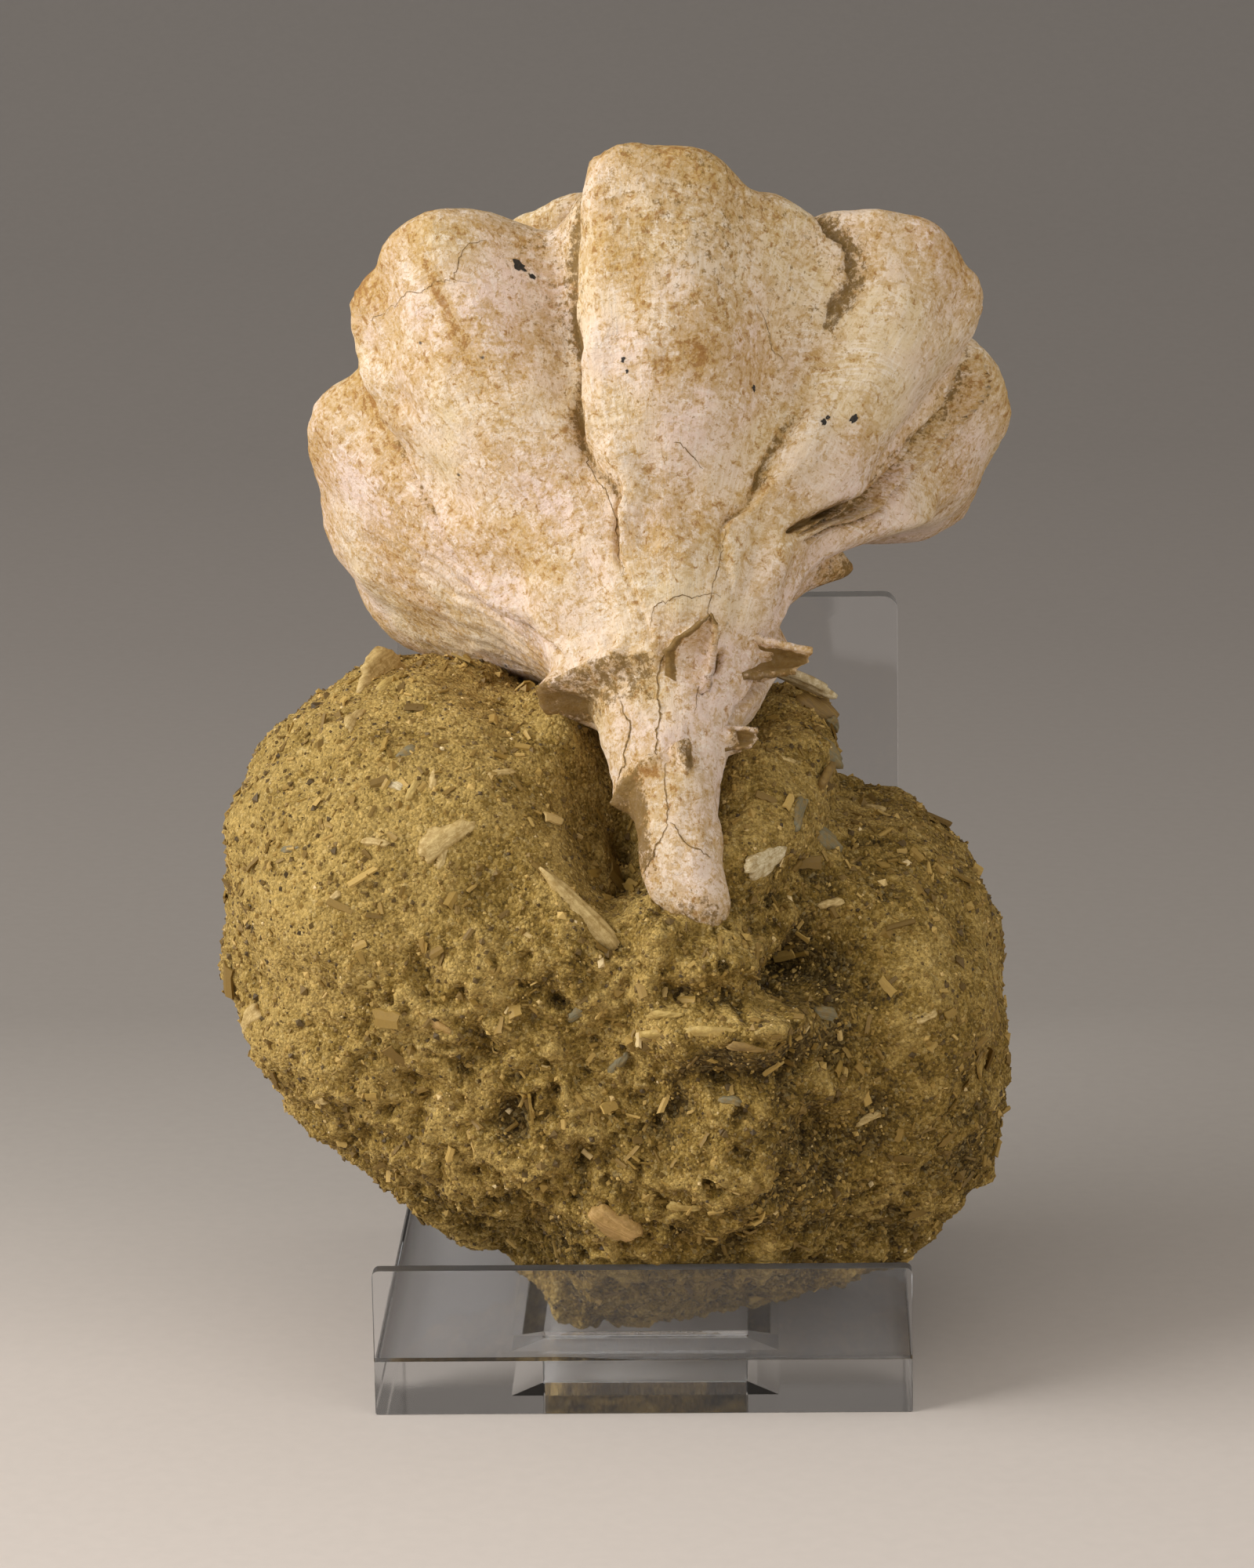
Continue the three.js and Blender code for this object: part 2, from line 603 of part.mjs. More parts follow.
addPiece('shell', toGeometry(wholeShell(0)), '#e2cfb4', 0.85);
addPiece('matrix', toGeometry(rock), '#84724a', 0.95);
for (const piece of FRAGMENTS) {
  addPiece(piece.name, toGeometry(outward(placeFlake(flake(piece, 0), piece))), '#c9b284', 0.7);
}
addPiece('stand_base', toGeometry(basePlate()), '#dfe3e4', 0.08);
const lip = addPiece('stand_lip', sheet(STAND_WIDTH, LIP_HEIGHT, LIP_THICK, 0.6), '#dfe3e4', 0.08);
lip.position.set(0, 0, BASE_THICK);
const back = addPiece('stand_back', sheet(STAND_WIDTH, BACK_HEIGHT, BACK_THICK, BACK_CORNER), '#dfe3e4', 0.08);
back.position.set(0, BASE_DEPTH - BACK_THICK, BASE_THICK);

// The origin lies under the middle of the whole object
const middle = new THREE.Box3().setFromObject(group).getCenter(new THREE.Vector3());
group.position.set(-middle.x, -middle.y, 0);

export default group;
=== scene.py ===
"""Looks of a knobbed fossil murex shell in shelly sandstone, on a clear acrylic stand."""

import math

import bpy
import numpy as np
from mathutils import Matrix, Vector


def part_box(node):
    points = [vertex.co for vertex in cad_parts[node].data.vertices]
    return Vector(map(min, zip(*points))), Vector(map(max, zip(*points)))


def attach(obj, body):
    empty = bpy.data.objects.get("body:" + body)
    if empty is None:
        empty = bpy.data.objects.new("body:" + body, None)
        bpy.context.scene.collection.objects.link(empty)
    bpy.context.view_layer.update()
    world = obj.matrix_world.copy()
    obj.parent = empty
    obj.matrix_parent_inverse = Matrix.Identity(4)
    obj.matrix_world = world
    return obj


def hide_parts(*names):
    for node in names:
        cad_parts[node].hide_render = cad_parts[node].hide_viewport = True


bl_info = {
    "name": "Fossil murex on its stand",
    "version": (1, 0, 0),
    "blender": (4, 5, 0),
    "location": "3D View > Sidebar > Fossil",
    "description": "Dresses the packed solids of the fossil, its rock and its stand",
    "category": "Object",
}

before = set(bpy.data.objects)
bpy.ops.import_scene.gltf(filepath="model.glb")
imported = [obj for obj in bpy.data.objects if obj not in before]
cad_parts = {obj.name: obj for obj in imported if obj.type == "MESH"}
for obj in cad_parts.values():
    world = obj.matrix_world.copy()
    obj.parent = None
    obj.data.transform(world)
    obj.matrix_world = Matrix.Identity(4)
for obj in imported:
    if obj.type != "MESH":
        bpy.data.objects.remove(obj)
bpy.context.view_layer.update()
BASE_LOW, BASE_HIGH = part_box("stand_base")
# Middle of the stand's front bottom edge, from which every place below is measured, in mm
STAND = np.array([(BASE_LOW.x + BASE_HIGH.x) * 500, BASE_LOW.y * 1000, 0.0])

# Stand: the same measures as its sheets, in mm
STAND_WIDE = 48
BASE_DEEP = 53
BASE_THICK = 5
LIP_HIGH = 8.5
LIP_THICK = 1.5
BACK_HIGH = 58.6
BACK_THICK = 2.5
WINDOW_WIDE = 18.5
WINDOW_FROM = 9.9
WINDOW_TO = 42

# Shell: the same formulas as the solid, in mm and degrees. Heights run along its axis, angles round it
RING = np.array([2.3, 36.4, 83.6])
AXIS_DIP = math.radians(37)
AXIS = np.array([0, math.cos(AXIS_DIP), math.sin(AXIS_DIP)])
SHELL_TOP = np.array([0, -math.sin(AXIS_DIP), math.cos(AXIS_DIP)])
SHELL_RIGHT = np.array([1.0, 0, 0])
APEX_UP = 22
WHORL_GROWTH = 1.45
OLDEST = 5
KNOB_SHIFT = 26
OLD_KNOBS = 0.6
LIP_ANGLE = -142
LIP_FADE = 9
CANAL_END = -54
CANAL_BEND_FROM = -20
CANAL_BEND = 0.0075
CANAL_SWAY = [
    (-60, 4.4), (-54, 4.1), (-52, 3.3), (-50, 2.3), (-47, 1.6), (-44, 1.3), (-40, 0.5), (-36, 0.5),
    (-32, 0.9), (-26, 0.4), (-20, 0),
]
RAMP_SLOPE = 2.9
RAMP_LIFT = 5.7
SHOULDER_ROUND = 11
FLANK_AT = 33.5
SHOULDER = [
    (-142, 30), (-118, 32), (-95, 30.4), (-60, 30.8), (-42, 33.2), (-3, 33.1), (19, 31.2), (51, 32.6),
    (84, 30.2), (117, 29.8), (131, 26.6), (146, 25), (160, 22.5), (180, 20.5), (200, 21.5), (218, 22.4),
]
# Hollows between the knobs: angle, depth at the shoulder, half width, depth on the flank
HOLLOWS = [
    (-118, 1.6, 7, 0.8), (-70, 3.4, 8, 3.6), (-21, 7.6, 9, 5.4), (30, 4.4, 10, 3.8), (70, 4.2, 7, 3.6),
    (101, 1.2, 7, 0.6), (135, 4, 8, 1.2),
]
BAG = {"at": -130, "wide": 32, "height": -9, "tall": 9, "rise": 3.4}
# Ribs that swell on the flank: angle, half width, height, half height, rise
SWELLS = [(-48, 14, -14, 7, 1.8), (6, 17, -13, 6.5, 2.4), (52, 11, -11, 6, 2.6)]
FLANGE = {"at": 98, "wide": 15, "level": -9.9, "slant": 0.36, "rise": 7.5, "above": 6.5, "below": 2.6}
UNDERCUT = {"from": 72, "full": 92, "fading": 140, "end": 175, "deep": 3.6, "drop": 1, "soft": 5,
            "tall": 22}
FLANK = [
    (-60, 0.8), (-54, 1.5), (-51, 3), (-48, 3.5), (-44, 3.7), (-41, 4.5), (-36, 5.7), (-33, 7.2),
    (-27, 11), (-22, 15.2), (-17, 20.2), (-12, 25.4), (-7, 31), (-2, 35.8), (4, 40), (12, 46), (40, 70),
]

# Where the photographed outline leaves the even formula: height, half height, angle, half width, rise
TRIMS = [
    (-2, 7, -50, 11, -2.0), (1, 6, -30, 7, -0.8), (0, 7, -13, 5, -1.4), (1, 7, -4, 5, -0.6),
    (0, 7, 16, 6, -2.3), (1, 6, 35, 5, 0.7), (0, 8, 56, 8, -1.5), (-3, 8, 86, 10, -1.1),
    (-8.5, 3.2, 98, 12, -3.5), (-12.5, 3, 98, 12, -3.0), (-8.5, 6.5, 80, 6, -2.2), (-3, 5, -108, 20, -1.5),
    (0, 5, 110, 8, -2.2), (-6, 4.5, 109, 12, -2.9), (5, 6, 0, 18, -0.5), (-14.5, 4, 6, 17, 0.9),
    (-22.5, 3, 8, 15, -1.3), (-13, 4, -46, 10, 0.6), (-22, 3, -44, 9, -0.7),
]

# Edges where each thick lip of an earlier growth stop stands up: places (height, angle) along it,
# its rise by height, the groove before it by height, the width of the step and how far it takes to
# die away, both in degrees
LIP_EDGES = [
    {
        "along": [(-31, -71), (-27.5, -82), (-24.4, -88), (-22, -84), (-19.4, -79), (-14, -75), (-9, -69),
                  (-5, -63), (6, -58)],
        "rise": [(-32, 0), (-30, 1.1), (-24, 3.0), (-16, 2.8), (-8, 2.8), (2, 1.7), (8, 0)],
        "groove": [(-32, 0), (-27, 1.5), (-22, 1.2), (-10, 0.7), (6, 0)], "step": 4, "fade": 14,
    },
    {
        "along": [(-32, -12), (-30, -15), (-26, -20), (-24, -18), (-22.5, -14), (-21, -16), (-18.8, -21),
                  (-16, -21), (-12.8, -18), (-8, -17), (-3, -13), (6, -10)],
        "rise": [(-33, 0), (-30, 0.4), (-24, 1.3), (-18, 2.4), (-10, 2.4), (0, 1.8), (8, 0)],
        "groove": [(-33, 0), (-24, 0.6), (-18, 1.1), (-8, 1.1), (4, 0.6)], "step": 2.4, "fade": 9,
    },
    {
        "along": [(-30, 42), (-27.6, 34), (-26, 28), (-24.6, 26), (-23, 27), (-21.7, 33), (-18, 36),
                  (-14.7, 38),
                  (-11, 39), (-6, 38), (-3, 37), (-0.5, 31), (6, 27)],
        "rise": [(-31, 0), (-28, 0.6), (-24, 0.9), (-20.5, 2.1), (-16, 1.9), (-12, 0.8), (-3, 0.9), (8, 0)],
        "groove": [(-31, 0), (-26, 0.3), (-22.5, 0.9), (-20, 1.8), (-17.5, 1.2), (-15, 0.4), (-10, 0.3),
                   (-6, 1.7),
                   (-1, 2.2), (4, 0.9), (8, 0)],
        "step": 2.2, "fade": 10,
    },
    {
        "along": [(-20, 68), (-11.6, 73), (-6.9, 76.5), (-4, 74), (-1.6, 69), (6, 66)],
        "rise": [(-20, 0), (-12, 1.2), (-3, 1.0), (6, 0)],
        "groove": [(-20, 0), (-12, 0.6), (-3, 0.5), (6, 0)], "step": 4, "fade": 12,
    },
]
# The last strong lip on the right: a thin layered edge with a gap behind it
LAYERED_EDGE = [
    (-23, 54), (-21.8, 58), (-18.4, 69), (-17.1, 74), (-14, 78), (-10.6, 81), (-8.5, 82), (-6.1, 80.5),
    (-3.8, 78), (-0.9, 74.5), (4, 71),
]
# Edge over which the third knob hangs, towards that lip: places (height, angle)
OVERHANG = [
    (-24, 50), (-21.4, 55), (-18.9, 61), (-16.5, 67), (-13.8, 72), (-11.5, 73.5), (-8.7, 75), (-6.1, 74),
    (-3, 70), (2, 64),
]
# Mesh of the shell: the angle where the near side ends, the share of its columns up to each angle,
# closest together over the layered edge, and the rows of the canal, of the flank and above it
NEAR_SIDE_TO = 112
COLUMN_SHARES = [(0, LIP_ANGLE), (0.1, -105), (0.68, 48), (0.9, 86), (1, NEAR_SIDE_TO)]
CANAL_TO, CANAL_ROWS = -26, 0.39
FLANK_TO, FLANK_ROWS = 2.5, 0.29
TOP_ROW = APEX_UP - 1.75
TOP_POINT, END_POINT = APEX_UP - 1.5, CANAL_END - 1.2
# Cracks: places (height, angle) along them, and the widest gap in mm
CRACKS = [
    ([(-3.6, -29), (-5.6, -33), (-7.4, -35)], 0.07),
    ([(-5.5, -54), (-6.4, -47), (-7.2, -39), (-7.3, -33)], 0.06),
    ([(-31.4, -12), (-30.2, -4), (-29.4, 12), (-28.9, 29)], 0.08),
    ([(-35.8, -44), (-38, -39), (-39.8, -50), (-40.9, -51), (-41.7, -76)], 0.22),
    ([(-33.6, -2), (-34.9, -5), (-36.6, -7), (-38.5, -3), (-39.7, -9), (-41.4, -13)], 0.24),
    ([(-41.6, -2), (-43.4, -9), (-45.2, -12), (-46.6, -15)], 0.14),
    ([(-46.6, -15), (-48.5, -47), (-49, -80)], 0.24),
    ([(-46.6, -15), (-47.3, -7), (-48.3, 5), (-48.3, 23), (-48.9, 40)], 0.16),
    ([(-31, 30), (-33, 30), (-35, 33), (-37.4, 30)], 0.12),
    ([(-24, 26), (-27, 25), (-30, 24), (-31.6, 26)], 0.09),
    ([(-16, -20), (-19, -23), (-22, -19), (-24.6, -20), (-27.5, -21)], 0.09),
    ([(-19.8, 4), (-20.1, 9), (-20.6, 14)], 0.08),
    ([(-9, 20), (-9.6, 26), (-10.8, 31)], 0.08),
]
# Black mineral spots: height, angle, half width in mm
SPOTS = [
    (-4.8, -26, 0.45), (-5.3, -24.6, 0.22), (-15.2, -7, 0.2), (-14.3, 24, 0.27), (-15.8, 42, 0.34),
    (-15.3, 42.6, 0.2), (-14.8, 48, 0.32), (-15.9, -6.4, 0.14), (-31, 22, 0.2),
]
# Rust-coloured patches: height, angle, half height and half width in mm
RUST = [
    (-14.8, 8, 0.9, 1.5), (-11.6, -3, 2.2, 0.3), (-15.9, 1, 0.8, 0.8), (-6, -70, 3, 2.2), (4, 0, 3, 6),
    (-1, -52, 3, 3), (-8.2, -38, 5, 0.8), (-42, -30, 0.7, 2.2), (1, 52, 2.4, 1.6), (-33.4, 6, 0.9, 1.6),
]

# Trough-shaped spines of the canal: places of the base and the tip in mm, and the way they open; then
# along them the half widths left or above and right or below, the depth, the wall, and how much shorter
# the second side is; then the stain inside, on both rims, outside and on the broken end
SPINES = {
    "middle": {
        "base": (4.3, 6.9, 63.4), "tip": (6.8, 3.5, 71.6), "open": (0.2, -0.9, 0.3), "wall": 0.6,
        "slant": 0.0,
        "first": [(0, 1.2), (0.3, 1.8), (0.5, 2.5), (0.66, 2.2), (0.85, 1.1), (1, 0.3)],
        "second": [(0, 1.3), (0.3, 1.3), (0.6, 1.0), (0.85, 0.7), (1, 0.3)],
        "depth": [(0, -0.8), (0.25, 0), (0.5, 0.9), (0.75, 1.0), (1, 0.3)],
        "dust_and_shade": (0.0, 1.3, 0.2, 0.5, 0.8),
    },
    "right": {
        "base": (8.6, 9.0, 67.2), "tip": (15.6, 9.8, 66.4), "open": (0, -0.95, 0.3), "wall": 0.7,
        "slant": 1.2,
        "first": [(0, 2.0), (0.4, 1.3), (1, 0.75)], "second": [(0, 1.7), (0.4, 1.3), (0.8, 1.0), (1, 0.75)],
        "depth": [(0, 1.4), (0.5, 1.5), (1, 1.0)], "dust_and_shade": (1.9, 0.0, 1.0, 0.9, 0.4),
    },
    "lower_right": {
        "base": (6.0, 6.9, 60.3), "tip": (10.7, 6.6, 60.3), "open": (0, -0.95, 0.3), "wall": 0.4,
        "slant": 0.4,
        "first": [(0, 1.3), (0.4, 0.8), (1, 0.65)], "second": [(0, 1.3), (0.4, 0.9), (1, 0.6)],
        "depth": [(0, 0.5), (1, 0.6)], "dust_and_shade": (1.5, 0.6, 1.0, 0.9, 0.7),
    },
}

# Matrix: the same formulas as the solid
ROCK = np.array([-2.6, 24, 31])
ROCK_FRONT = 28
ROCK_BACK = 26.6
ROCK_FULL = 2.3
OUTLINE = [
    (-2, 35.2), (18, 35.4), (32, 33), (44, 28.6), (54, 33), (66, 31), (78, 22), (92, 21),
    (103, 29), (118, 36.5), (135, 39.6), (150, 39.8), (163, 36.6), (176, 35.4), (192, 31.4), (210, 27.4),
    (226, 25.4), (243, 24), (259, 27.4), (283, 28.2), (298, 29.4), (318, 34), (339, 36.6),
]
UNEVEN = 0.7
LUMPS = [
    (8.5, -2, 38, 4.6, 7.5), (10, -2, 25, 3.2, 7), (11, 4, 12, 0.6, 9), (17.5, 0, 41, -5.5, 5.5),
    (18.5, 2, 25, -3.4, 4), (27, 6, 33, 2.2, 8), (-1, -2, 33, -2.6, 6), (-1.5, 3, 53, -4.5, 5),
    (-4, -1, 43, 2.2, 6), (-5, 18, 54, 10, 6), (-17, 1, 29, -1.8, 6), (-24, 6, 47, 1.8, 9),
    (-9, 4, 14, -1.6, 6), (-30, 40, 40, -2.5, 10), (24, 42, 24, 2, 9), (0, 46, 38, -2.2, 9),
]

# Hollows broken into the front of the rock: x, z, depth, half widths in x and z
ROCK_HOLLOWS = [
    (15.5, 41.2, 4.2, 3.4, 2.3), (19, 44, 1.6, 2.5, 2.5), (16.2, 26.6, 3.0, 2.0, 2.3),
    (13.6, 22.5, 1.8, 1.6, 3.4), (-1.4, 52.4, 9.0, 1.3, 3.4), (-12, 47.8, 2.0, 3.0, 2.2),
    (-7.5, 40.5, 1.5, 1.8, 2.0), (-14.6, 34.2, 1.8, 1.4, 2.6), (-21, 31, 1.5, 1.6, 1.6),
    (9.6, 32.4, 1.6, 2.4, 1.3), (-11, 29, 1.4, 2.2, 1.5), (2.5, 26, 1.2, 1.5, 2.5), (-5, 24, 1.3, 2.0, 1.5),
    (22, 33, 1.5, 1.5, 2.2), (-18.5, 41, 1.2, 1.5, 1.5), (6, 15, 1.3, 3, 1.5),
]

# Paper backdrop: its run from front to back (mm behind the stand's front edge, mm up), half its width,
# the air left under the acrylic, which never wets the paper, and its tones over that stretch of it,
# painted light that falls off from the pale front to the grey back
PAPER_RUN = [(-900, 0), (300, 0), (420, 6), (520, 26), (600, 62), (660, 120), (690, 200), (700, 320),
             (700, 1200)]
PAPER_HALF_WIDTH = 1500
PAPER_GAP = 0.04
TONES_FROM, TONES_TO = -120.0, 780.0
PAPER_LIGHT_FALLOFF = [
    (0.0, "#D2C8BF"), (0.12, "#C8BEB5"), (0.18, "#ADA59D"), (0.25, "#928B84"), (0.5, "#8B847E"),
    (1.0, "#736F6B"),
]
# Lights: place and width in mm; both face the middle of the object
KEY_LIGHT = ((-510, -170, 330), 420)
FILL_LIGHT = ((420, -420, 260), 500)
LIT_HEIGHT = 55
# Camera where the photograph was taken from, worked out from the stand's straight edges: place in mm,
# turned, dipped and rolled in degrees, focal length in pixels of an image 2000 pixels high
CAMERA_AT = (13.5, -447.3, 168.8)
CAMERA_TURN, CAMERA_DIP, CAMERA_ROLL = 1.8, 13.92, -0.957
FOCAL_PIXELS, IMAGE_HIGH = 6786, 2000
SENSOR_WIDE = 36

# Small shell fragments: x, z, half length and half width in mm, turn and lift in degrees, look
SMALL_FRAGMENTS = [
    (-20.1, 58.8, 1.0, 0.9, 20, 25, "grey"), (-19.4, 56.3, 1.2, 0.6, 62, 35, "yellow"),
    (-21.2, 56.4, 0.9, 0.7, -20, 20, "white"), (-17.6, 57.2, 1.1, 0.5, 80, 30, "pale"),
    (-16.7, 51.4, 1.7, 0.4, 78, 40, "pale"), (-22.8, 52.4, 1.3, 0.5, -15, 25, "pale"),
    (-26.5, 47.4, 1.0, 0.5, 40, 20, "pale"), (-30.5, 50.8, 1.2, 0.6, 5, 10, "grey"),
    (-17.4, 36.4, 1.2, 0.7, -30, 15, "pink"), (-24.1, 39.7, 1.3, 0.7, 15, 15, "yellow"),
    (-5, 37.7, 1.0, 0.8, 30, 10, "grey"), (-1.6, 33, 1.4, 0.6, 55, 15, "grey"),
    (3.8, 20, 1.5, 0.8, 10, 12, "yellow"), (17.2, 45.2, 1.2, 0.5, 15, 35, "pale"),
    (25.6, 35.7, 1.1, 0.4, 20, 20, "pale"), (20.6, 26.4, 1.8, 0.3, 24, 25, "pale"),
    (8.2, 30.6, 1.0, 0.5, -10, 15, "grey"), (-28.6, 27.8, 1.0, 0.6, 40, 15, "pale"),
    (9.4, 36.2, 1.6, 0.5, -6, 40, "brown"), (2.4, 38.4, 1.6, 0.4, 10, 40, "yellow"),
    (-9.4, 44.9, 1.2, 0.4, -35, 30, "pale"), (-25.2, 60.5, 1.7, 0.8, 70, 60, "pale"),
    (-22.5, 62.6, 1.6, 0.7, 52, 50, "yellow"), (17.6, 57.4, 1.8, 0.6, -30, 35, "grey"),
    (12.8, 57.2, 1.4, 0.5, 10, 25, "pale"), (21.5, 49.5, 1.0, 0.5, -20, 15, "pale"),
    (-11.8, 57.4, 1.3, 0.5, 30, 30, "pale"), (16.2, 58.6, 2.2, 1.5, -8, 35, "brown"),
    (17.2, 56.6, 1.8, 1.0, 4, 30, "grey"),
]
# Large shell fragments: node, look, x, z, half length, half width and half thickness in mm, turn and
# lift in degrees, bend, and how deep they are sunk in mm
FRAGMENTS = [
    ("left_shard", "pale", -24, 63.2, 3.4, 2.0, 0.45, 62, 60, 0.5, 1),
    ("blade_white", "white", 15.2, 61.8, 3.2, 1.0, 0.4, -24, 50, 0.1, 0.6),
    ("blade_brown", "brown", 16.8, 54.6, 2.6, 1.8, 0.4, 12, 35, 0.3, 0.5),
    ("side_flake", "pale", -35.2, 33.5, 2.2, 1.2, 0.45, 25, 35, 0.3, 0.3),
    ("ribbed_valve", "pink", -2.3, 18.2, 2.4, 1.5, 0.7, -35, 8, 0.5, 0.1),
    ("long_flake", "pale", -4.4, 46.4, 4.8, 1.1, 0.4, -27, 22, 0.4, 0.1),
    ("pale_flake", "white", 11.4, 50.2, 2.7, 1.1, 0.4, 32, 10, 0.3, 0.2),
    ("grey_oval", "grey", 16.8, 49.8, 1.8, 1.1, 0.5, 12, 5, 0.3, -0.1),
    ("grey_flake", "grey", 14.6, 53.4, 2, 0.9, 0.4, 70, 15, 0.2, 0.4),
    ("curved_edge", "pale", -16.4, 52.4, 2.8, 1.3, 0.4, 38, 45, 1.2, 0.1),
    ("ledge_flake", "yellow", 5.6, 36.9, 4.8, 1.3, 0.4, 4, 70, 0.5, 0.4),
    ("ledge_sliver", "grey", 16.4, 36.2, 1.9, 0.9, 0.4, 6, 65, 0.2, 0),
]


def smooth(x):
    """Soft step from 0 to 1."""
    t = np.clip(x, 0, 1)
    return t * t * (3 - 2 * t)


def mix(a, b, t):
    """Value a share t of the way from a to b."""
    return a + (b - a) * t


def bell(x, middle, half):
    """1 at the middle, and falling away over about half on both sides."""
    return np.exp(-(((x - middle) / half) ** 2))


def wrapped(angle):
    """Angle in degrees brought to -180 to 180."""
    return (angle + 540) % 360 - 180


def eased_through(points, x):
    """Value between listed points, level at each of them."""
    xs, ys = np.array(points, float).T
    i = np.clip(np.searchsorted(xs, x) - 1, 0, len(xs) - 2)
    return mix(ys[i], ys[i + 1], smooth((x - xs[i]) / (xs[i + 1] - xs[i])))


def curve_through(points, x):
    """Value on the smooth curve through listed points."""
    xs, ys = np.array(points, float).T
    last = len(xs) - 1
    x = np.clip(x, xs[0], xs[-1])
    i = np.clip(np.searchsorted(xs, x) - 1, 0, last - 1)
    before, after = np.maximum(0, i - 1), np.minimum(last, i + 2)
    m0 = (ys[i + 1] - ys[before]) / (xs[i + 1] - xs[before])
    m1 = (ys[after] - ys[i]) / (xs[after] - xs[i])
    span = xs[i + 1] - xs[i]
    t = (x - xs[i]) / span
    t2, t3 = t * t, t * t * t
    ends = (2 * t3 - 3 * t2 + 1) * ys[i] + (3 * t2 - 2 * t3) * ys[i + 1]
    return ends + (t3 - 2 * t2 + t) * span * m0 + (t3 - t2) * span * m1


def smooth_min(a, b, reach):
    """The smaller value, rounded over where the two meet."""
    h = np.maximum(0, reach - np.abs(a - b)) / reach
    return np.minimum(a, b) - h * h * reach * 0.25


def noise(points, size, seed):
    """Smooth random field over points in mm, about -1 to 1, with features of that size in mm."""
    p = np.asarray(points) / size
    cell = np.floor(p).astype(np.int64)
    f = p - cell
    u = f * f * f * (f * (f * 6 - 15) + 10)
    total = np.zeros(p.shape[:-1])
    for corner in range(8):
        step = np.array([corner & 1, corner >> 1 & 1, corner >> 2 & 1])
        at = cell + step
        code = at[..., 0] * 374761393 + at[..., 1] * 668265263 + at[..., 2] * 1103515245 + seed * 97463477
        code = ((code & 0xFFFFFFFF) ^ ((code & 0xFFFFFFFF) >> 13)) * 1274126177 & 0xFFFFFFFF
        code ^= code >> 16
        away = f - step
        slope = [(code >> shift & 1023) / 511.5 - 1 for shift in (0, 10, 20)]
        dot = slope[0] * away[..., 0] + slope[1] * away[..., 1] + slope[2] * away[..., 2]
        total += dot * np.prod(np.where(step, u, 1 - u), axis=-1)
    return total * 1.6


def swell_rise(height, angle):
    """Rise of the ribs that swell on the flank."""
    rise = 0
    for at, wide, level, tall, most in SWELLS:
        rise = rise + most * bell(angle, at, wide) * bell(height, level, tall)
    return rise


def flange_rise(height, angle):
    """Rise of the flange on the right, less the undercut below it."""
    off = height - FLANGE["level"] - FLANGE["slant"] * (angle - FLANGE["at"])
    up = off / np.where(off > 0, FLANGE["above"], FLANGE["below"])
    turned = smooth((angle - UNDERCUT["from"]) / (UNDERCUT["full"] - UNDERCUT["from"]))
    turned = turned * smooth((UNDERCUT["end"] - angle) / (UNDERCUT["end"] - UNDERCUT["fading"]))
    along = smooth((-UNDERCUT["drop"] - off) / UNDERCUT["soft"])
    along = along * smooth((off + UNDERCUT["tall"]) / UNDERCUT["soft"])
    flange = FLANGE["rise"] * bell(angle, FLANGE["at"], FLANGE["wide"]) * bell(up, 0, 1)
    return flange - UNDERCUT["deep"] * turned * along


def hollow_depth(below, angle):
    """Depth of the hollows between the knobs, by height over the shoulder."""
    fade = smooth((below + 26) / 20)
    depth = 0
    for at, deep, wide, flank in HOLLOWS:
        depth = depth + bell(wrapped(angle - at), 0, wide) * mix(flank, deep, fade)
    return depth


def whorl_radius(height, angle, age):
    """Radius of the whorl that is so many turns old."""
    shrink = WHORL_GROWTH ** age
    a = (angle - LIP_ANGLE) % 360 + LIP_ANGLE
    from_apex = (APEX_UP + 3.3) * WHORL_GROWTH ** -((a - LIP_ANGLE) / 360)
    shoulder_at = APEX_UP - from_apex
    h = APEX_UP - (APEX_UP - height) * shrink
    knobs = hollow_depth(h - shoulder_at, a + KNOB_SHIFT * age) * (OLD_KNOBS if age else 1)
    shoulder = eased_through(SHOULDER, a) - knobs
    share = smooth((h + 32) / 24)
    flank = curve_through(FLANK, h - shoulder_at * share) * mix(1, shoulder / FLANK_AT, share)
    ramp = shoulder + RAMP_LIFT - RAMP_SLOPE * (h - shoulder_at)
    return smooth_min(flank, ramp, SHOULDER_ROUND) / shrink


def shell_radius(height, angle):
    """Radius of the plain shell, as in the solid."""
    a = (angle - LIP_ANGLE) % 360 + LIP_ANGLE
    past_lip = smooth((a - (LIP_ANGLE + 360 - LIP_FADE)) / LIP_FADE)
    body = mix(whorl_radius(height, a, 0), whorl_radius(height, LIP_ANGLE + 0 * a, 0), past_lip)
    for age in range(1, OLDEST + 1):
        body = np.maximum(body, whorl_radius(height, a, age))
    bag = (BAG["rise"] * bell(wrapped(a - BAG["at"]), 0, BAG["wide"])
           * bell(height, BAG["height"], BAG["tall"]))
    return np.maximum(0.4, body + bag * (1 - past_lip) + swell_rise(height, a) + flange_rise(height, a))


def axis_point(height):
    """Place on the shell's axis, which bends along the canal."""
    past = np.maximum(0, CANAL_BEND_FROM - height)
    drift = curve_through(CANAL_SWAY, height)
    place = RING + height[..., None] * AXIS
    return place - (CANAL_BEND * past * past)[..., None] * SHELL_TOP + drift[..., None] * SHELL_RIGHT


def shell_place(height, angle, radius):
    """Place at a radius from the axis."""
    turn = np.radians(angle)[..., None]
    out = np.sin(turn) * SHELL_RIGHT + np.cos(turn) * SHELL_TOP
    return axis_point(height) + radius[..., None] * out


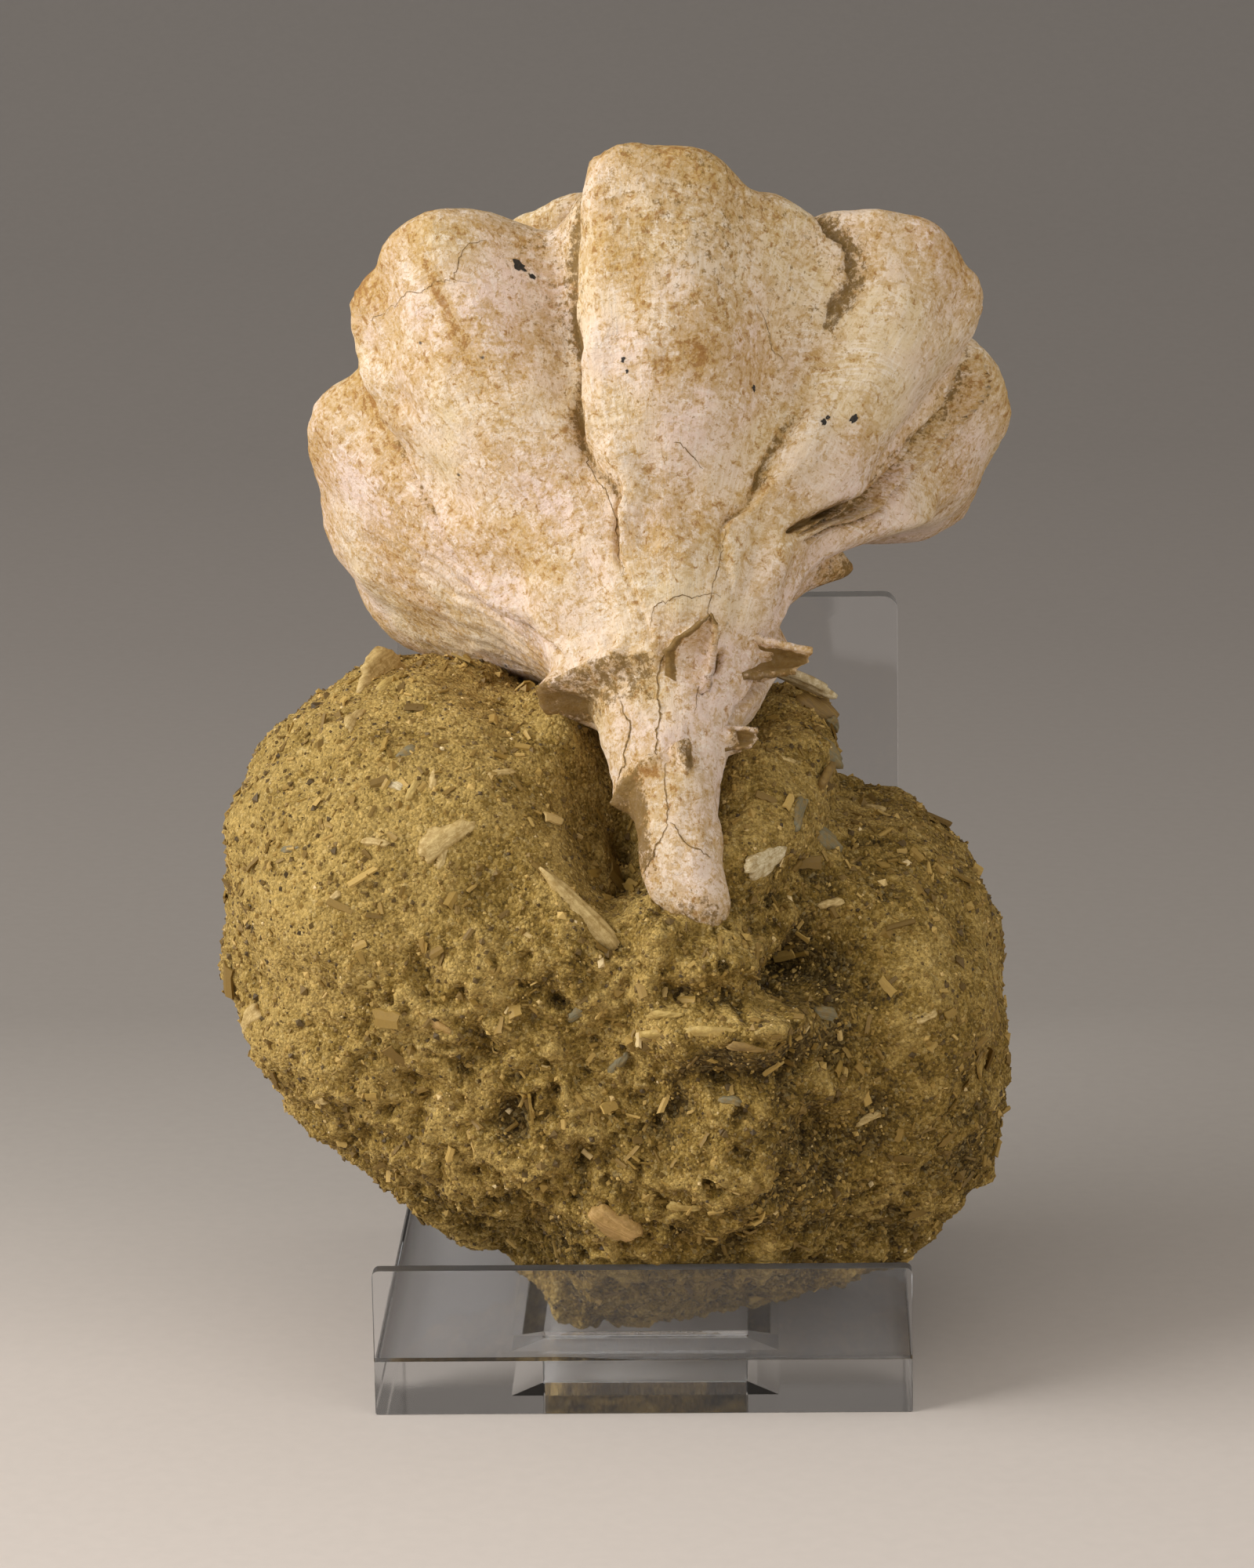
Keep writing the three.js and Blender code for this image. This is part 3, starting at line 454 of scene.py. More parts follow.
def rock_radius(direction):
    """Reach of the rock's plain skin from its middle, along unit directions."""
    x, y, z = direction[..., 0], direction[..., 1], direction[..., 2]
    angle = np.degrees(np.arctan2(z, x))
    angle = np.where(angle < OUTLINE[0][0], angle + 360, angle)
    edge = curve_through(OUTLINE + [(OUTLINE[0][0] + 360, OUTLINE[0][1])], angle)
    deep = np.where(y < 0, ROCK_FRONT, ROCK_BACK)
    radius = ((np.hypot(x, z) / edge) ** ROCK_FULL + (np.abs(y) / deep) ** ROCK_FULL) ** (-1 / ROCK_FULL)
    skin = direction * radius[..., None] + ROCK
    rise = UNEVEN * np.sin(0.43 * skin[..., 0] + 1.1) * np.sin(0.39 * skin[..., 1] + 0.7)
    rise = rise * np.sin(0.47 * skin[..., 2])
    for lump in LUMPS:
        far = np.linalg.norm(skin - np.array(lump[:3]), axis=-1) / lump[4]
        rise = rise + lump[3] * np.exp(-far * far)
    return radius + rise


def rock_front(x, z, extra=None):
    """Place on the front skin of the rock straight behind x and z, plain or with its extra relief."""
    inside, outside = ROCK[1], ROCK[1] - 60
    for _ in range(24):
        y = (inside + outside) / 2
        out = np.array([x, y, z]) - ROCK
        reach = np.linalg.norm(out)
        relief = extra(out / reach)[0] if extra else 0
        if reach < rock_radius(out / reach) + relief:
            inside = y
        else:
            outside = y
    return np.array([x, inside, z])


def rock_normal(place):
    """Direction square to the rock's plain front at a place on it."""
    step = 1.2
    right = rock_front(place[0] + step, place[2]) - rock_front(place[0] - step, place[2])
    up = rock_front(place[0], place[2] + step) - rock_front(place[0], place[2] - step)
    normal = np.cross(right, up)
    return normal / np.linalg.norm(normal)


def to_linear(code):
    """Linear RGBA from an sRGB hex code."""
    values = [int(code[i:i + 2], 16) / 255 for i in (1, 3, 5)]
    return (*[v / 12.92 if v <= 0.04045 else ((v + 0.055) / 1.055) ** 2.4 for v in values], 1.0)


def make_mesh(name, points, faces, fields=None, shade_smooth=True):
    """Mesh object from places in mm, with one array of triangles or quads and fields of values per point."""
    mesh = bpy.data.meshes.new(name)
    sides = faces.shape[1]
    mesh.vertices.add(len(points))
    mesh.vertices.foreach_set("co", ((points + STAND) / 1000).astype(np.float32).ravel())
    mesh.loops.add(faces.size)
    mesh.loops.foreach_set("vertex_index", faces.astype(np.int32).ravel())
    mesh.polygons.add(len(faces))
    mesh.polygons.foreach_set("loop_start", np.arange(0, faces.size, sides, dtype=np.int32))
    mesh.update(calc_edges=True)
    mesh.validate()
    mesh.polygons.foreach_set("use_smooth", np.full(len(mesh.polygons), shade_smooth))
    for field, values in (fields or {}).items():
        kind = "FLOAT_VECTOR" if values.ndim == 2 else "FLOAT"
        attribute = mesh.attributes.new(field, kind, "POINT")
        attribute.data.foreach_set("vector" if values.ndim == 2 else "value",
                                   values.astype(np.float32).ravel())
    made = bpy.data.objects.new(name, mesh)
    bpy.context.collection.objects.link(made)
    return made


def settle(piece, slot, material, *nodes):
    """Gives the piece its material and body, and hides the solids that it stands for. The slot is not used.
    """
    piece.data.materials.append(material)
    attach(piece, "root")
    if nodes:
        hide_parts(*nodes)


def new_material(name):
    """A new material of that name, with its node tree and its shader."""
    material = bpy.data.materials.new(name)
    material.use_nodes = True
    return material, material.node_tree, material.node_tree.nodes["Principled BSDF"]


def fill(tree, node, inputs):
    """Sets a node's inputs, each to a value or to another node's socket."""
    for name, value in inputs.items():
        if isinstance(value, bpy.types.NodeSocket):
            tree.links.new(value, node.inputs[name])
        else:
            node.inputs[name].default_value = value


def add(tree, kind, inputs=None, stops=None, **settings):
    """Adds a node with its settings, inputs and colour stops."""
    node = tree.nodes.new(kind)
    for name, value in settings.items():
        setattr(node, name, value)
    fill(tree, node, inputs or {})
    if stops:
        ramp = node.color_ramp.elements
        while len(ramp) < len(stops):
            ramp.new(1)
        for element, (place, colour) in zip(ramp, stops):
            element.position = place
            element.color = to_linear(colour) if isinstance(colour, str) else (colour, colour, colour, 1)
    return node


def mm_place(tree):
    """Place on the object in mm."""
    place = add(tree, "ShaderNodeTexCoord").outputs["Object"]
    return add(tree, "ShaderNodeVectorMath", {0: place, 1: (1000, 1000, 1000)},
               operation="MULTIPLY").outputs[0]


def chalky_shell():
    """Fossil shell, aragonite gone chalky: dull, cream to pink, stained by iron along its growth lines."""
    s = bpy.context.scene.fossil_shell
    material, tree, face = new_material("Chalky fossil shell")
    place = mm_place(tree)
    growth = add(tree, "ShaderNodeAttribute", attribute_name="growth").outputs["Vector"]
    fields = {}
    for name in ("knob", "dust_and_shade", "rust"):
        fields[name] = add(tree, "ShaderNodeAttribute", attribute_name=name).outputs["Fac"]

    # Noises: width in mm, detail, roughness and warp; those that follow the growth of the shell also
    # have how fast they change round it and along it
    for name, size, detail, rough, warp, stretch in (
        ("tones", 12, 3, 0.5, 0, None), ("runs", 4, 3, 0.6, 0, None), ("patches", 8, 3, 0.55, 0, None),
        # Spiral threads 0.4 mm apart, axial growth lines, and streaks where a growth line has opened
        ("threads", 1, 4, 0.7, 0, (0.3, 2.8)), ("growth_lines", 1, 4, 0.7, 0, (2.4, 0.2)),
        ("streaks", 1, 4, 0.6, 0, (1.7, 0.1)), ("long_blotches", 1, 3, 0.6, 0, (0.25, 1.2)),
        ("blotches", 1.1, 8, 0.72, 0.6, None), ("fleck_grain", 0.8, 6, 0.72, 0.5, None),
        ("fine_grain", 0.35, 5, 0.7, 0, None), ("core_grain", 0.5, 5, 0.7, 0, None),
        ("rust_grain", 0.7, 6, 0.75, 0, None), ("dust_grain", 0.7, 7, 0.8, 0, None),
        ("speck_edge", 0.35, 2, 0.6, 0, None), ("dullness", 0.8, 4, 0.6, 0, None),
        # Pits of 3 mm in the skin, and a chalky tooth of 1 and of 0.25 mm
        ("pits", 2.6, 5, 0.6, 0.4, None), ("coarse_tooth", 0.9, 6, 0.7, 0, None),
        ("fine_tooth", 0.28, 3, 0.6, 0, None),
    ):
        vector = place
        if stretch:
            vector = add(tree, "ShaderNodeVectorMath", {0: growth, 1: (*stretch, 1)},
                         operation="MULTIPLY").outputs[0]
        inputs = {"Vector": vector, "Scale": 1 / size, "Detail": detail, "Roughness": rough,
                  "Distortion": warp}
        fields[name] = add(tree, "ShaderNodeTexNoise", inputs).outputs["Fac"]
    # Black specks under half a millimetre, one in each 7 mm
    cells = add(tree, "ShaderNodeTexVoronoi", {"Vector": place, "Scale": 1 / 7.0, "Randomness": 1.0})
    fields["speck_cells"] = cells.outputs["Distance"]

    # Sums of fields: the stain is heavier on the knobs, in the hollows where the dust and painted shade lie,
    # and in patches of 8 mm
    for name, parts in (
        ("heavy", (("patches", 0.5), ("knob", 0.16), ("dust_and_shade", 0.14), ("rust", 0.2))),
        ("stain", (("heavy", 1), ("blotches", 1), ("long_blotches", 0.3))),
        ("flecks", (("fleck_grain", 1), ("heavy", 0.45))),
        ("fine_flecks", (("fine_grain", 1), ("heavy", 0.4))),
        ("cores", (("flecks", 1), ("core_grain", 0.45))),
        ("rust_patches", (("rust_grain", 1), ("rust", 0.5))),
        ("held_dust_and_shade", (("dust_and_shade", 0.36), ("dust_grain", 1.4))),
        ("specks", (("speck_cells", 1), ("speck_edge", 0.05))),
    ):
        total = 0.0
        for part, weight in parts:
            total = add(tree, "ShaderNodeMath", {0: fields[part], 1: weight, 2: total},
                        operation="MULTIPLY_ADD").outputs[0]
        fields[name] = total

    # Layers of colour over the cream: the field, where it starts and where it is full, the most that
    # it covers, and its tone
    colour = to_linear(s.cream)
    runs = add(tree, "ShaderNodeValToRGB", {"Fac": fields["runs"]},
               [(0.4, 0.0), (0.62, 1.0)]).outputs["Color"]
    for name, start, full, most, tone in (
        ("tones", 0.38, 0.62, 1, s.pink),
        # Threads and growth lines are paler than the ground, and the threads come and go in runs
        ("threads", 0.48, 0.6, 0.6, s.bright),
        ("growth_lines", 0.5, 0.62, 0.4, s.bright),
        # Iron stain in ragged blotches of 1 mm, crisp small flecks, and a darker brown in their middle
        ("stain", 0.88, 1, 0.5, s.ochre), ("flecks", 0.65, 0.69, 0.52, s.ochre),
        ("fine_flecks", 0.655, 0.7, 0.5, s.ochre), ("cores", 0.955, 1, 0.7, s.rust),
        ("rust_patches", 0.84, 0.98, 0.7, s.rust), ("streaks", 0.58, 0.74, 0.4, s.ochre),
        # Rock dust held in the hollows and against the rock, with painted shade in the grooves, gaps, holes
        # and under the ledges, then the black specks
        ("held_dust_and_shade", 0.86, 1, 0.85, s.dust), ("specks", 0.062, 0.045, 0.85, s.speck),
    ):
        stops = sorted([(start, 0.0), (full, 1.0)])
        share = add(tree, "ShaderNodeValToRGB", {"Fac": fields[name]}, stops).outputs["Color"]
        if name == "threads":
            share = add(tree, "ShaderNodeMath", {0: share, 1: runs}, operation="MULTIPLY").outputs[0]
        share = add(tree, "ShaderNodeMath", {0: share, 1: most}, operation="MULTIPLY").outputs[0]
        colour = add(tree, "ShaderNodeMix", {0: share, 6: colour, 7: to_linear(tone)},
                     data_type="RGBA").outputs[2]

    rough = add(tree, "ShaderNodeMapRange",
                {"Value": fields["dullness"], "To Min": 0.62, "To Max": 0.9}).outputs[0]
    normal = {}
    for name, strength, depth_mm in (("pits", 0.6, 0.5), ("threads", 0.6, 0.14),
                                     ("growth_lines", 0.6, 0.14),
                                     ("coarse_tooth", 0.8, 0.26), ("stain", 0.5, 0.12),
                                     ("fine_tooth", 0.6, 0.09)):
        inputs = {"Height": fields[name], "Strength": strength, "Distance": depth_mm / 1000, **normal}
        normal = {"Normal": add(tree, "ShaderNodeBump", inputs).outputs["Normal"]}
    fill(tree, face, {"Base Color": colour, "Roughness": rough, "IOR": 1.53, "Specular IOR Level": 0.35,
                      **normal})
    return material


def crack_shade():
    """Painted shade along the cracks: dark brown strips, dull and grainy."""
    return plain_mineral("Painted shade in the cracks", "#5A421C", "#8E7040", 0.3, 0.95)


def black_spots():
    """Manganese spots: nearly black, dull, with a brown rim where they thin out."""
    return plain_mineral("Black mineral spots", "#1E1C1A", "#3A3228", 0.2, 0.8)


def plain_mineral(name, dark, light, grain_mm, dull):
    """Fine dull mineral between two tones, with grains of one size."""
    material, tree, face = new_material(name)
    inputs = {"Vector": mm_place(tree), "Scale": 1 / grain_mm, "Detail": 3.0}
    grain = add(tree, "ShaderNodeTexNoise", inputs).outputs["Fac"]
    colour = add(tree, "ShaderNodeValToRGB", {"Fac": grain}, [(0.35, dark), (0.65, light)]).outputs["Color"]
    rough = add(tree, "ShaderNodeMapRange",
                {"Value": grain, "To Min": dull - 0.1, "To Max": 1.0}).outputs[0]
    bump = add(tree, "ShaderNodeBump", {"Height": grain, "Strength": 0.6, "Distance": 0.08 / 1000})
    fill(tree, face, {"Base Color": colour, "Roughness": rough, "Normal": bump.outputs["Normal"]})
    return material


def shelly_sandstone(name, dark, mid, light, grain_mm, bump_mm):
    """Weakly cemented shelly sandstone: dull grains of quartz and shell in a khaki cement."""
    material, tree, face = new_material(name)
    place = mm_place(tree)
    pit_shade = add(tree, "ShaderNodeAttribute", attribute_name="pit_shade").outputs["Fac"]
    # Cement patches of 7 mm, lumps of 2 mm and grains; clods and a fine tooth for the bumps
    patches, lumps, grains, clods, tooth = [
        add(tree, "ShaderNodeTexNoise",
            {"Vector": place, "Scale": 1 / size, "Detail": detail, "Roughness": rough}).outputs["Fac"]
        for size, detail, rough in ((7, 3, 0.6), (2, 5, 0.7), (grain_mm, 3, 0.7), (1.6, 6, 0.7),
                                    (grain_mm * 0.6, 3, 0.7))
    ]
    tone = lumps
    # Painted shade darkens the tone in the pits and hollows, under the ledge and towards the lower right,
    # and painted light pales it on the left
    for field, weight in ((patches, 0.9), (grains, 1.2), (pit_shade, -1)):
        tone = add(tree, "ShaderNodeMath", {0: field, 1: weight, 2: tone},
                   operation="MULTIPLY_ADD").outputs[0]
    tone = add(tree, "ShaderNodeMapRange", {"Value": tone, "From Min": 1.1, "From Max": 1.86}).outputs[0]
    colour = add(tree, "ShaderNodeValToRGB", {"Fac": tone}, [(0.0, dark), (0.45, mid), (1.0, light)])
    # Single grains, each of its own tone
    cells = add(tree, "ShaderNodeTexVoronoi", {"Vector": place, "Scale": 1 / grain_mm, "Randomness": 1.0})
    tint = add(tree, "ShaderNodeSeparateColor", {"Color": cells.outputs["Color"]}).outputs[0]
    stops = [(0.0, "#463512"), (0.5, mid), (0.9, light), (0.98, "#D2BA82")]
    single = add(tree, "ShaderNodeValToRGB", {"Fac": tint}, stops).outputs["Color"]
    colour = add(tree, "ShaderNodeMix", {0: 0.35, 6: colour.outputs["Color"], 7: single}, data_type="RGBA")
    # The grains stand proud of the gaps between them
    normal = {}
    for height, strength, depth_mm, sunk in ((clods, 0.6, bump_mm, False),
                                             (cells.outputs["Distance"], 0.7, 0.5 * bump_mm, True),
                                             (tooth, 0.6, 0.3 * bump_mm, False)):
        inputs = {"Height": height, "Strength": strength, "Distance": depth_mm / 1000, **normal}
        normal = {"Normal": add(tree, "ShaderNodeBump", inputs, invert=sunk).outputs["Normal"]}
    fill(tree, face, {"Base Color": colour.outputs[2], "Roughness": 0.9, "IOR": 1.5,
                      "Specular IOR Level": 0.3,
                      **normal})
    return material


def loose_grains():
    """Quartz and shell grains on the rock's face: each grain one tone, from brown to near white."""
    material, tree, face = new_material("Loose sand grains")
    tone = add(tree, "ShaderNodeAttribute", attribute_name="tone").outputs["Fac"]
    stops = [(0.0, "#3E2D0C"), (0.3, "#765A1E"), (0.6, "#9C7C36"), (0.85, "#C4A25A"), (0.98, "#E4CC9A")]
    colour = add(tree, "ShaderNodeValToRGB", {"Fac": tone}, stops).outputs["Color"]
    inputs = {"Vector": mm_place(tree), "Scale": 1 / 0.15, "Detail": 3.0}
    fine = add(tree, "ShaderNodeTexNoise", inputs).outputs["Fac"]
    shade = add(tree, "ShaderNodeMapRange", {"Value": fine, "To Min": 0.75, "To Max": 1.2}).outputs[0]
    shaded = add(tree, "ShaderNodeVectorMath", {0: colour, "Scale": shade}, operation="SCALE").outputs[0]
    rough = add(tree, "ShaderNodeMapRange", {"Value": fine, "To Min": 0.45, "To Max": 0.85}).outputs[0]
    bump = add(tree, "ShaderNodeBump", {"Height": fine, "Strength": 0.5, "Distance": 0.04 / 1000})
    fill(tree, face, {"Base Color": shaded, "Roughness": rough, "IOR": 1.54, "Specular IOR Level": 0.45,
                      "Normal": bump.outputs["Normal"]})
    return material


def shell_chip(name, pale, dark):
    """Broken shell: thin growth layers show as fine bands on the faces and edges."""
    material, tree, face = new_material(name)
    place = mm_place(tree)
    across = add(tree, "ShaderNodeAttribute", attribute_name="across").outputs["Fac"]
    wave = add(tree, "ShaderNodeTexNoise",
               {"Vector": place, "Scale": 1 / 1.2, "Detail": 4.0}).outputs["Fac"]
    bent = add(tree, "ShaderNodeMath", {0: wave, 1: 0.8, 2: across}, operation="MULTIPLY_ADD").outputs[0]
    bands = add(tree, "ShaderNodeCombineXYZ", {"X": bent}).outputs[0]
    inputs = {"Vector": bands, "Scale": 4.0, "Detail": 4.0, "Roughness": 0.7}
    band = add(tree, "ShaderNodeTexNoise", inputs).outputs["Fac"]
    stops = [(0.32, dark), (0.56, pale), (0.75, pale)]
    colour = add(tree, "ShaderNodeValToRGB", {"Fac": band}, stops).outputs["Color"]
    # Sand dust clings to most of the face
    inputs = {"Vector": place, "Scale": 1 / 0.7, "Detail": 6.0, "Roughness": 0.75}
    cling = add(tree, "ShaderNodeTexNoise", inputs).outputs["Fac"]
    share = add(tree, "ShaderNodeValToRGB", {"Fac": cling}, [(0.44, 0.0), (0.62, 0.7)]).outputs["Color"]
    inputs = {0: share, 6: colour, 7: to_linear("#8C6C2A")}
    colour = add(tree, "ShaderNodeMix", inputs, data_type="RGBA").outputs[2]
    rough = add(tree, "ShaderNodeMapRange", {"Value": cling, "To Min": 0.45, "To Max": 0.9}).outputs[0]
    bump = add(tree, "ShaderNodeBump", {"Height": band, "Strength": 0.6, "Distance": 0.12 / 1000})
    fill(tree, face, {"Base Color": colour, "Roughness": rough, "IOR": 1.53,
                      "Normal": bump.outputs["Normal"]})
    return material


def cast_acrylic():
    """Clear cast acrylic sheet, laser-cut and handled: glossy, faintly grey, with fine scuffs."""
    material, tree, face = new_material("Clear cast acrylic")
    place = mm_place(tree)
    inputs = {"Vector": place, "Scale": 1 / 3.0, "Detail": 8.0, "Roughness": 0.75}
    scuff = add(tree, "ShaderNodeTexNoise", inputs).outputs["Fac"]
    inputs = {"Value": scuff, "From Min": 0.4, "From Max": 0.75, "To Min": 0.0, "To Max": 0.05}
    rough = add(tree, "ShaderNodeMapRange", inputs).outputs[0]
    # The sawn top edges of the upright sheets were left frosted
    height = add(tree, "ShaderNodeSeparateXYZ", {0: place}).outputs["Z"]
    above = add(tree, "ShaderNodeMath", {0: height, 1: BASE_THICK + 0.3},
                operation="GREATER_THAN").outputs[0]
    normal = add(tree, "ShaderNodeNewGeometry").outputs["Normal"]
    facing = add(tree, "ShaderNodeSeparateXYZ", {0: normal}).outputs["Z"]
    sawn = add(tree, "ShaderNodeMath", {0: facing, 1: 0.3}, operation="GREATER_THAN").outputs[0]
    frost = add(tree, "ShaderNodeMath", {0: above, 1: sawn}, operation="MULTIPLY").outputs[0]
    rough = add(tree, "ShaderNodeMath", {0: frost, 1: 0.4, 2: rough}, operation="MULTIPLY_ADD").outputs[0]
    bump = add(tree, "ShaderNodeBump", {"Height": scuff, "Strength": 0.08, "Distance": 0.05 / 1000})
    fill(tree, face, {"Base Color": to_linear("#F4F5F7"), "Roughness": rough, "IOR": 1.49,
                      "Transmission Weight": 1.0, "Normal": bump.outputs["Normal"]})
    return material


def seamless_paper():
    """Matt paper backdrop with painted light: pale in front, falling off to grey behind; dull, with a fine
    fibre.
    """
    material, tree, face = new_material("Seamless paper backdrop")
    place = mm_place(tree)
    back = add(tree, "ShaderNodeSeparateXYZ", {0: place}).outputs["Y"]
    depth = add(tree, "ShaderNodeMapRange",
                {"Value": back, "From Min": TONES_FROM, "From Max": TONES_TO}).outputs[0]
    tone = add(tree, "ShaderNodeValToRGB", {"Fac": depth}, PAPER_LIGHT_FALLOFF).outputs["Color"]
    # It is drawn paler under the base, for the light that the clear sheet lets through to it
    middle = (0, -BASE_DEEP / 2, 0) - STAND
    spot = add(tree, "ShaderNodeVectorMath", {0: place, 1: middle}, operation="ADD").outputs[0]
    halves = (2 / STAND_WIDE, 2 / BASE_DEEP, 0)
    spot = add(tree, "ShaderNodeVectorMath", {0: spot, 1: halves}, operation="MULTIPLY").outputs[0]
    spot = add(tree, "ShaderNodeVectorMath", {0: spot}, operation="ABSOLUTE").outputs[0]
    sides = add(tree, "ShaderNodeSeparateXYZ", {0: spot}).outputs
    widest = add(tree, "ShaderNodeMath", {0: sides[0], 1: sides[1]}, operation="MAXIMUM").outputs[0]
    inside = add(tree, "ShaderNodeMapRange",
                 {"Value": widest, "From Min": 0.99, "From Max": 0.93}).outputs[0]
    inputs = {0: inside, 6: tone, 7: to_linear("#F4EFEA")}
    tone = add(tree, "ShaderNodeMix", inputs, data_type="RGBA").outputs[2]
    # Fibre, drawn 1.5 mm coarse so that it shows
    inputs = {"Vector": place, "Scale": 1 / 1.5, "Detail": 5.0}
    fibre = add(tree, "ShaderNodeTexNoise", inputs).outputs["Fac"]
    speckle = add(tree, "ShaderNodeMapRange", {"Value": fibre, "To Min": 0.96, "To Max": 1.04}).outputs[0]
    tone = add(tree, "ShaderNodeVectorMath", {0: tone, "Scale": speckle}, operation="SCALE").outputs[0]
    fill(tree, face, {"Base Color": tone, "Roughness": 0.85, "Specular IOR Level": 0.2})
    return material


class FossilShellSettings(bpy.types.PropertyGroup):
    """Colours of the shell, and how finely it is built"""
    cream: bpy.props.StringProperty(
        name="Cream", description="Main tone of the shell, sRGB hex", default="#DEC7A0")
    pink: bpy.props.StringProperty(
        name="Pink", description="Second tone of the shell, sRGB hex", default="#E3C9B8")
    bright: bpy.props.StringProperty(
        name="Bright", description="Palest growth bands, sRGB hex", default="#F3E7D9")
    ochre: bpy.props.StringProperty(name="Ochre", description="Iron stain, sRGB hex", default="#B68C3C")
    rust: bpy.props.StringProperty(name="Rust", description="Darker iron flecks, sRGB hex",
                                   default="#95642A")
    # The dust tone is also the colour of the painted shade in the grooves, gaps, holes and under the ledges
    dust: bpy.props.StringProperty(
        name="Dust", description="Rock dust in the hollows, sRGB hex", default="#745826")
    speck: bpy.props.StringProperty(name="Speck", description="Black specks, sRGB hex", default="#2E2B28")
    columns: bpy.props.IntProperty(
        name="Columns", description="Columns of faces on the near side", default=272, min=60)
    rows: bpy.props.IntProperty(
        name="Rows", description="Rows of faces from canal to apex", default=296, min=60)
    relief: bpy.props.FloatProperty(
        name="Relief", description="Strength of the lip edges and dents", default=1.0, min=0)


class RockSettings(bpy.types.PropertyGroup):
    """Colours of the rock, its grain, and how much lies loose on it"""
    # The dark tone also stands for the painted shade in the pits and hollows
    dark: bpy.props.StringProperty(name="Dark", description="Tone in the pits, sRGB hex", default="#30220A")
    mid: bpy.props.StringProperty(
        name="Middle", description="Main tone of the rock, sRGB hex", default="#8A6C28")
    light: bpy.props.StringProperty(
        name="Light", description="Tone of the worn faces, sRGB hex", default="#D2B066")
    grain: bpy.props.FloatProperty(
        name="Grain", description="Width of a sand grain, in mm", default=0.3, min=0.05)
    cells: bpy.props.IntProperty(
        name="Cells", description="Faces along one side of the starting cube", default=124, min=20)
    grains: bpy.props.IntProperty(name="Grains", description="How many loose grains", default=23000, min=0)
    chips: bpy.props.IntProperty(name="Chips", description="How many small shell chips", default=3400,
                                 min=0)


class StandSettings(bpy.types.PropertyGroup):
    """Finish of the acrylic sheets"""
    edge: bpy.props.FloatProperty(
        name="Edge", description="Width of the broken sheet edges", default=0.00012, unit="LENGTH", min=0)


class StageSettings(bpy.types.PropertyGroup):
    """Strength of the studio's lights"""
    room: bpy.props.FloatProperty(
        name="Room light", description="Strength of the even light all round", default=0.62, min=0)
    key_power: bpy.props.FloatProperty(
        name="Key light", description="Power of the main light", default=3.9, unit="POWER")
    fill_power: bpy.props.FloatProperty(
        name="Fill light", description="Power of the fill light", default=0.75, unit="POWER")


def lip_edges(height, angle, place):
    """Extra reach from the edges of earlier lips, and how much dust, painted shade and rust lie along them.
    """
    rise, dust_and_shade = 0 * height, 0 * height
    ragged = 1.3 * noise(place, 3.5, 31) + 0.8 * noise(place, 1.2, 32)
    uneven = 0.75 + 0.5 * noise(place, 4.5, 33)
    for edge in LIP_EDGES:
        off = wrapped(angle - curve_through(edge["along"], height) + ragged)
        most = curve_through(edge["rise"], height) * uneven
        groove = curve_through(edge["groove"], height) * uneven
        away = np.exp(-np.maximum(0, off - edge["step"]) / edge["fade"])
        rise = rise + most * smooth(off / edge["step"]) * away - groove * bell(off, -0.7, 1.5)
        for k, behind in enumerate((1.4, 3.2, 5.2)):
            past = off - edge["step"] - behind
            layer = smooth(past / 0.7) * np.exp(-np.maximum(0, past) / 1.6)
            rise = rise + (0.3 - 0.05 * k) * most * layer
        # Painted shade with brown dust in the groove before each lip, and fainter painted shade at the foot
        # of its step
        dust_and_shade = dust_and_shade + 0.75 * np.minimum(groove, 1.2) * bell(off, -0.7, 1.6) + 0.12 * most * bell(off, -1, 3)
    off = wrapped(angle - curve_through(LAYERED_EDGE, height) + 0.2 * ragged)
    ends = smooth((height + 23) / 2) * smooth((1.5 - height) / 5)
    gap = smooth((-12.5 - height) / 4)
    rise = (rise + (2.0 * bell(off, 0, 1.0) + 1.3 * bell(off, -3.4, 0.9) + 0.6 * bell(off, 3.4, 1.0)) * ends
            * uneven)
    rise = (rise - (2.4 * bell(off, -5.2, 1.8) * gap + 0.8 * bell(off, -1.7, 0.7)
                    + 0.6 * bell(off, 1.8, 0.7)) * ends)
    # Painted shade in the gap behind the layered edge and in the slits on both sides of its crest
    dust_and_shade = (dust_and_shade + (1.1 * bell(off, -5.2, 2.0) * gap + 0.9 * bell(off, -1.7, 0.6)
                    + 0.9 * bell(off, 1.8, 0.6)) * ends)
    stained = 0.4 * (bell(off, 0, 0.8) + 0.8 * bell(off, -3.4, 0.7)) * ends
    # The third knob swells to its edge and drops sharply behind it
    off = wrapped(angle - curve_through(OVERHANG, height) + 0.4 * ragged)
    ends = smooth((height + 22) / 5) * smooth((3 - height) / 6)
    swell = np.where(off < 0, np.exp(-np.maximum(0, -off) / 9), 1 - smooth(off / 2.0))
    rise = rise + (2.4 * swell - 1.2 * bell(off, 2.8, 2.8)) * ends
    # Painted shade in the drop behind the knob, heavier low down
    dust_and_shade = dust_and_shade + (0.15 + 0.5 * gap) * bell(off, 2.0, 1.8) * ends
    return rise, dust_and_shade, stained


def collar(height, reach, level, above, below, plain):
    """A ledge across the canal that stands out to reach, level at a height, soft above and sharp below."""
    up = height - level
    shape = np.where(up > 0, np.exp(-np.maximum(0, up) / above),
                     np.exp(-((np.minimum(0, up) / below) ** 2)))
    return np.maximum(0, reach - plain) * shape


def block(height, angle, at, half_tall, half_wide, radius, reach, plain):
    """A spine that is broken off square, seen from outside as a small rounded block."""
    across = np.radians(angle - at[1]) * radius / half_wide
    up = (height - at[0]) / half_tall
    return np.maximum(0, reach - plain) * smooth((1.35 - (across ** 4 + up ** 4) ** 0.25) / 0.45)


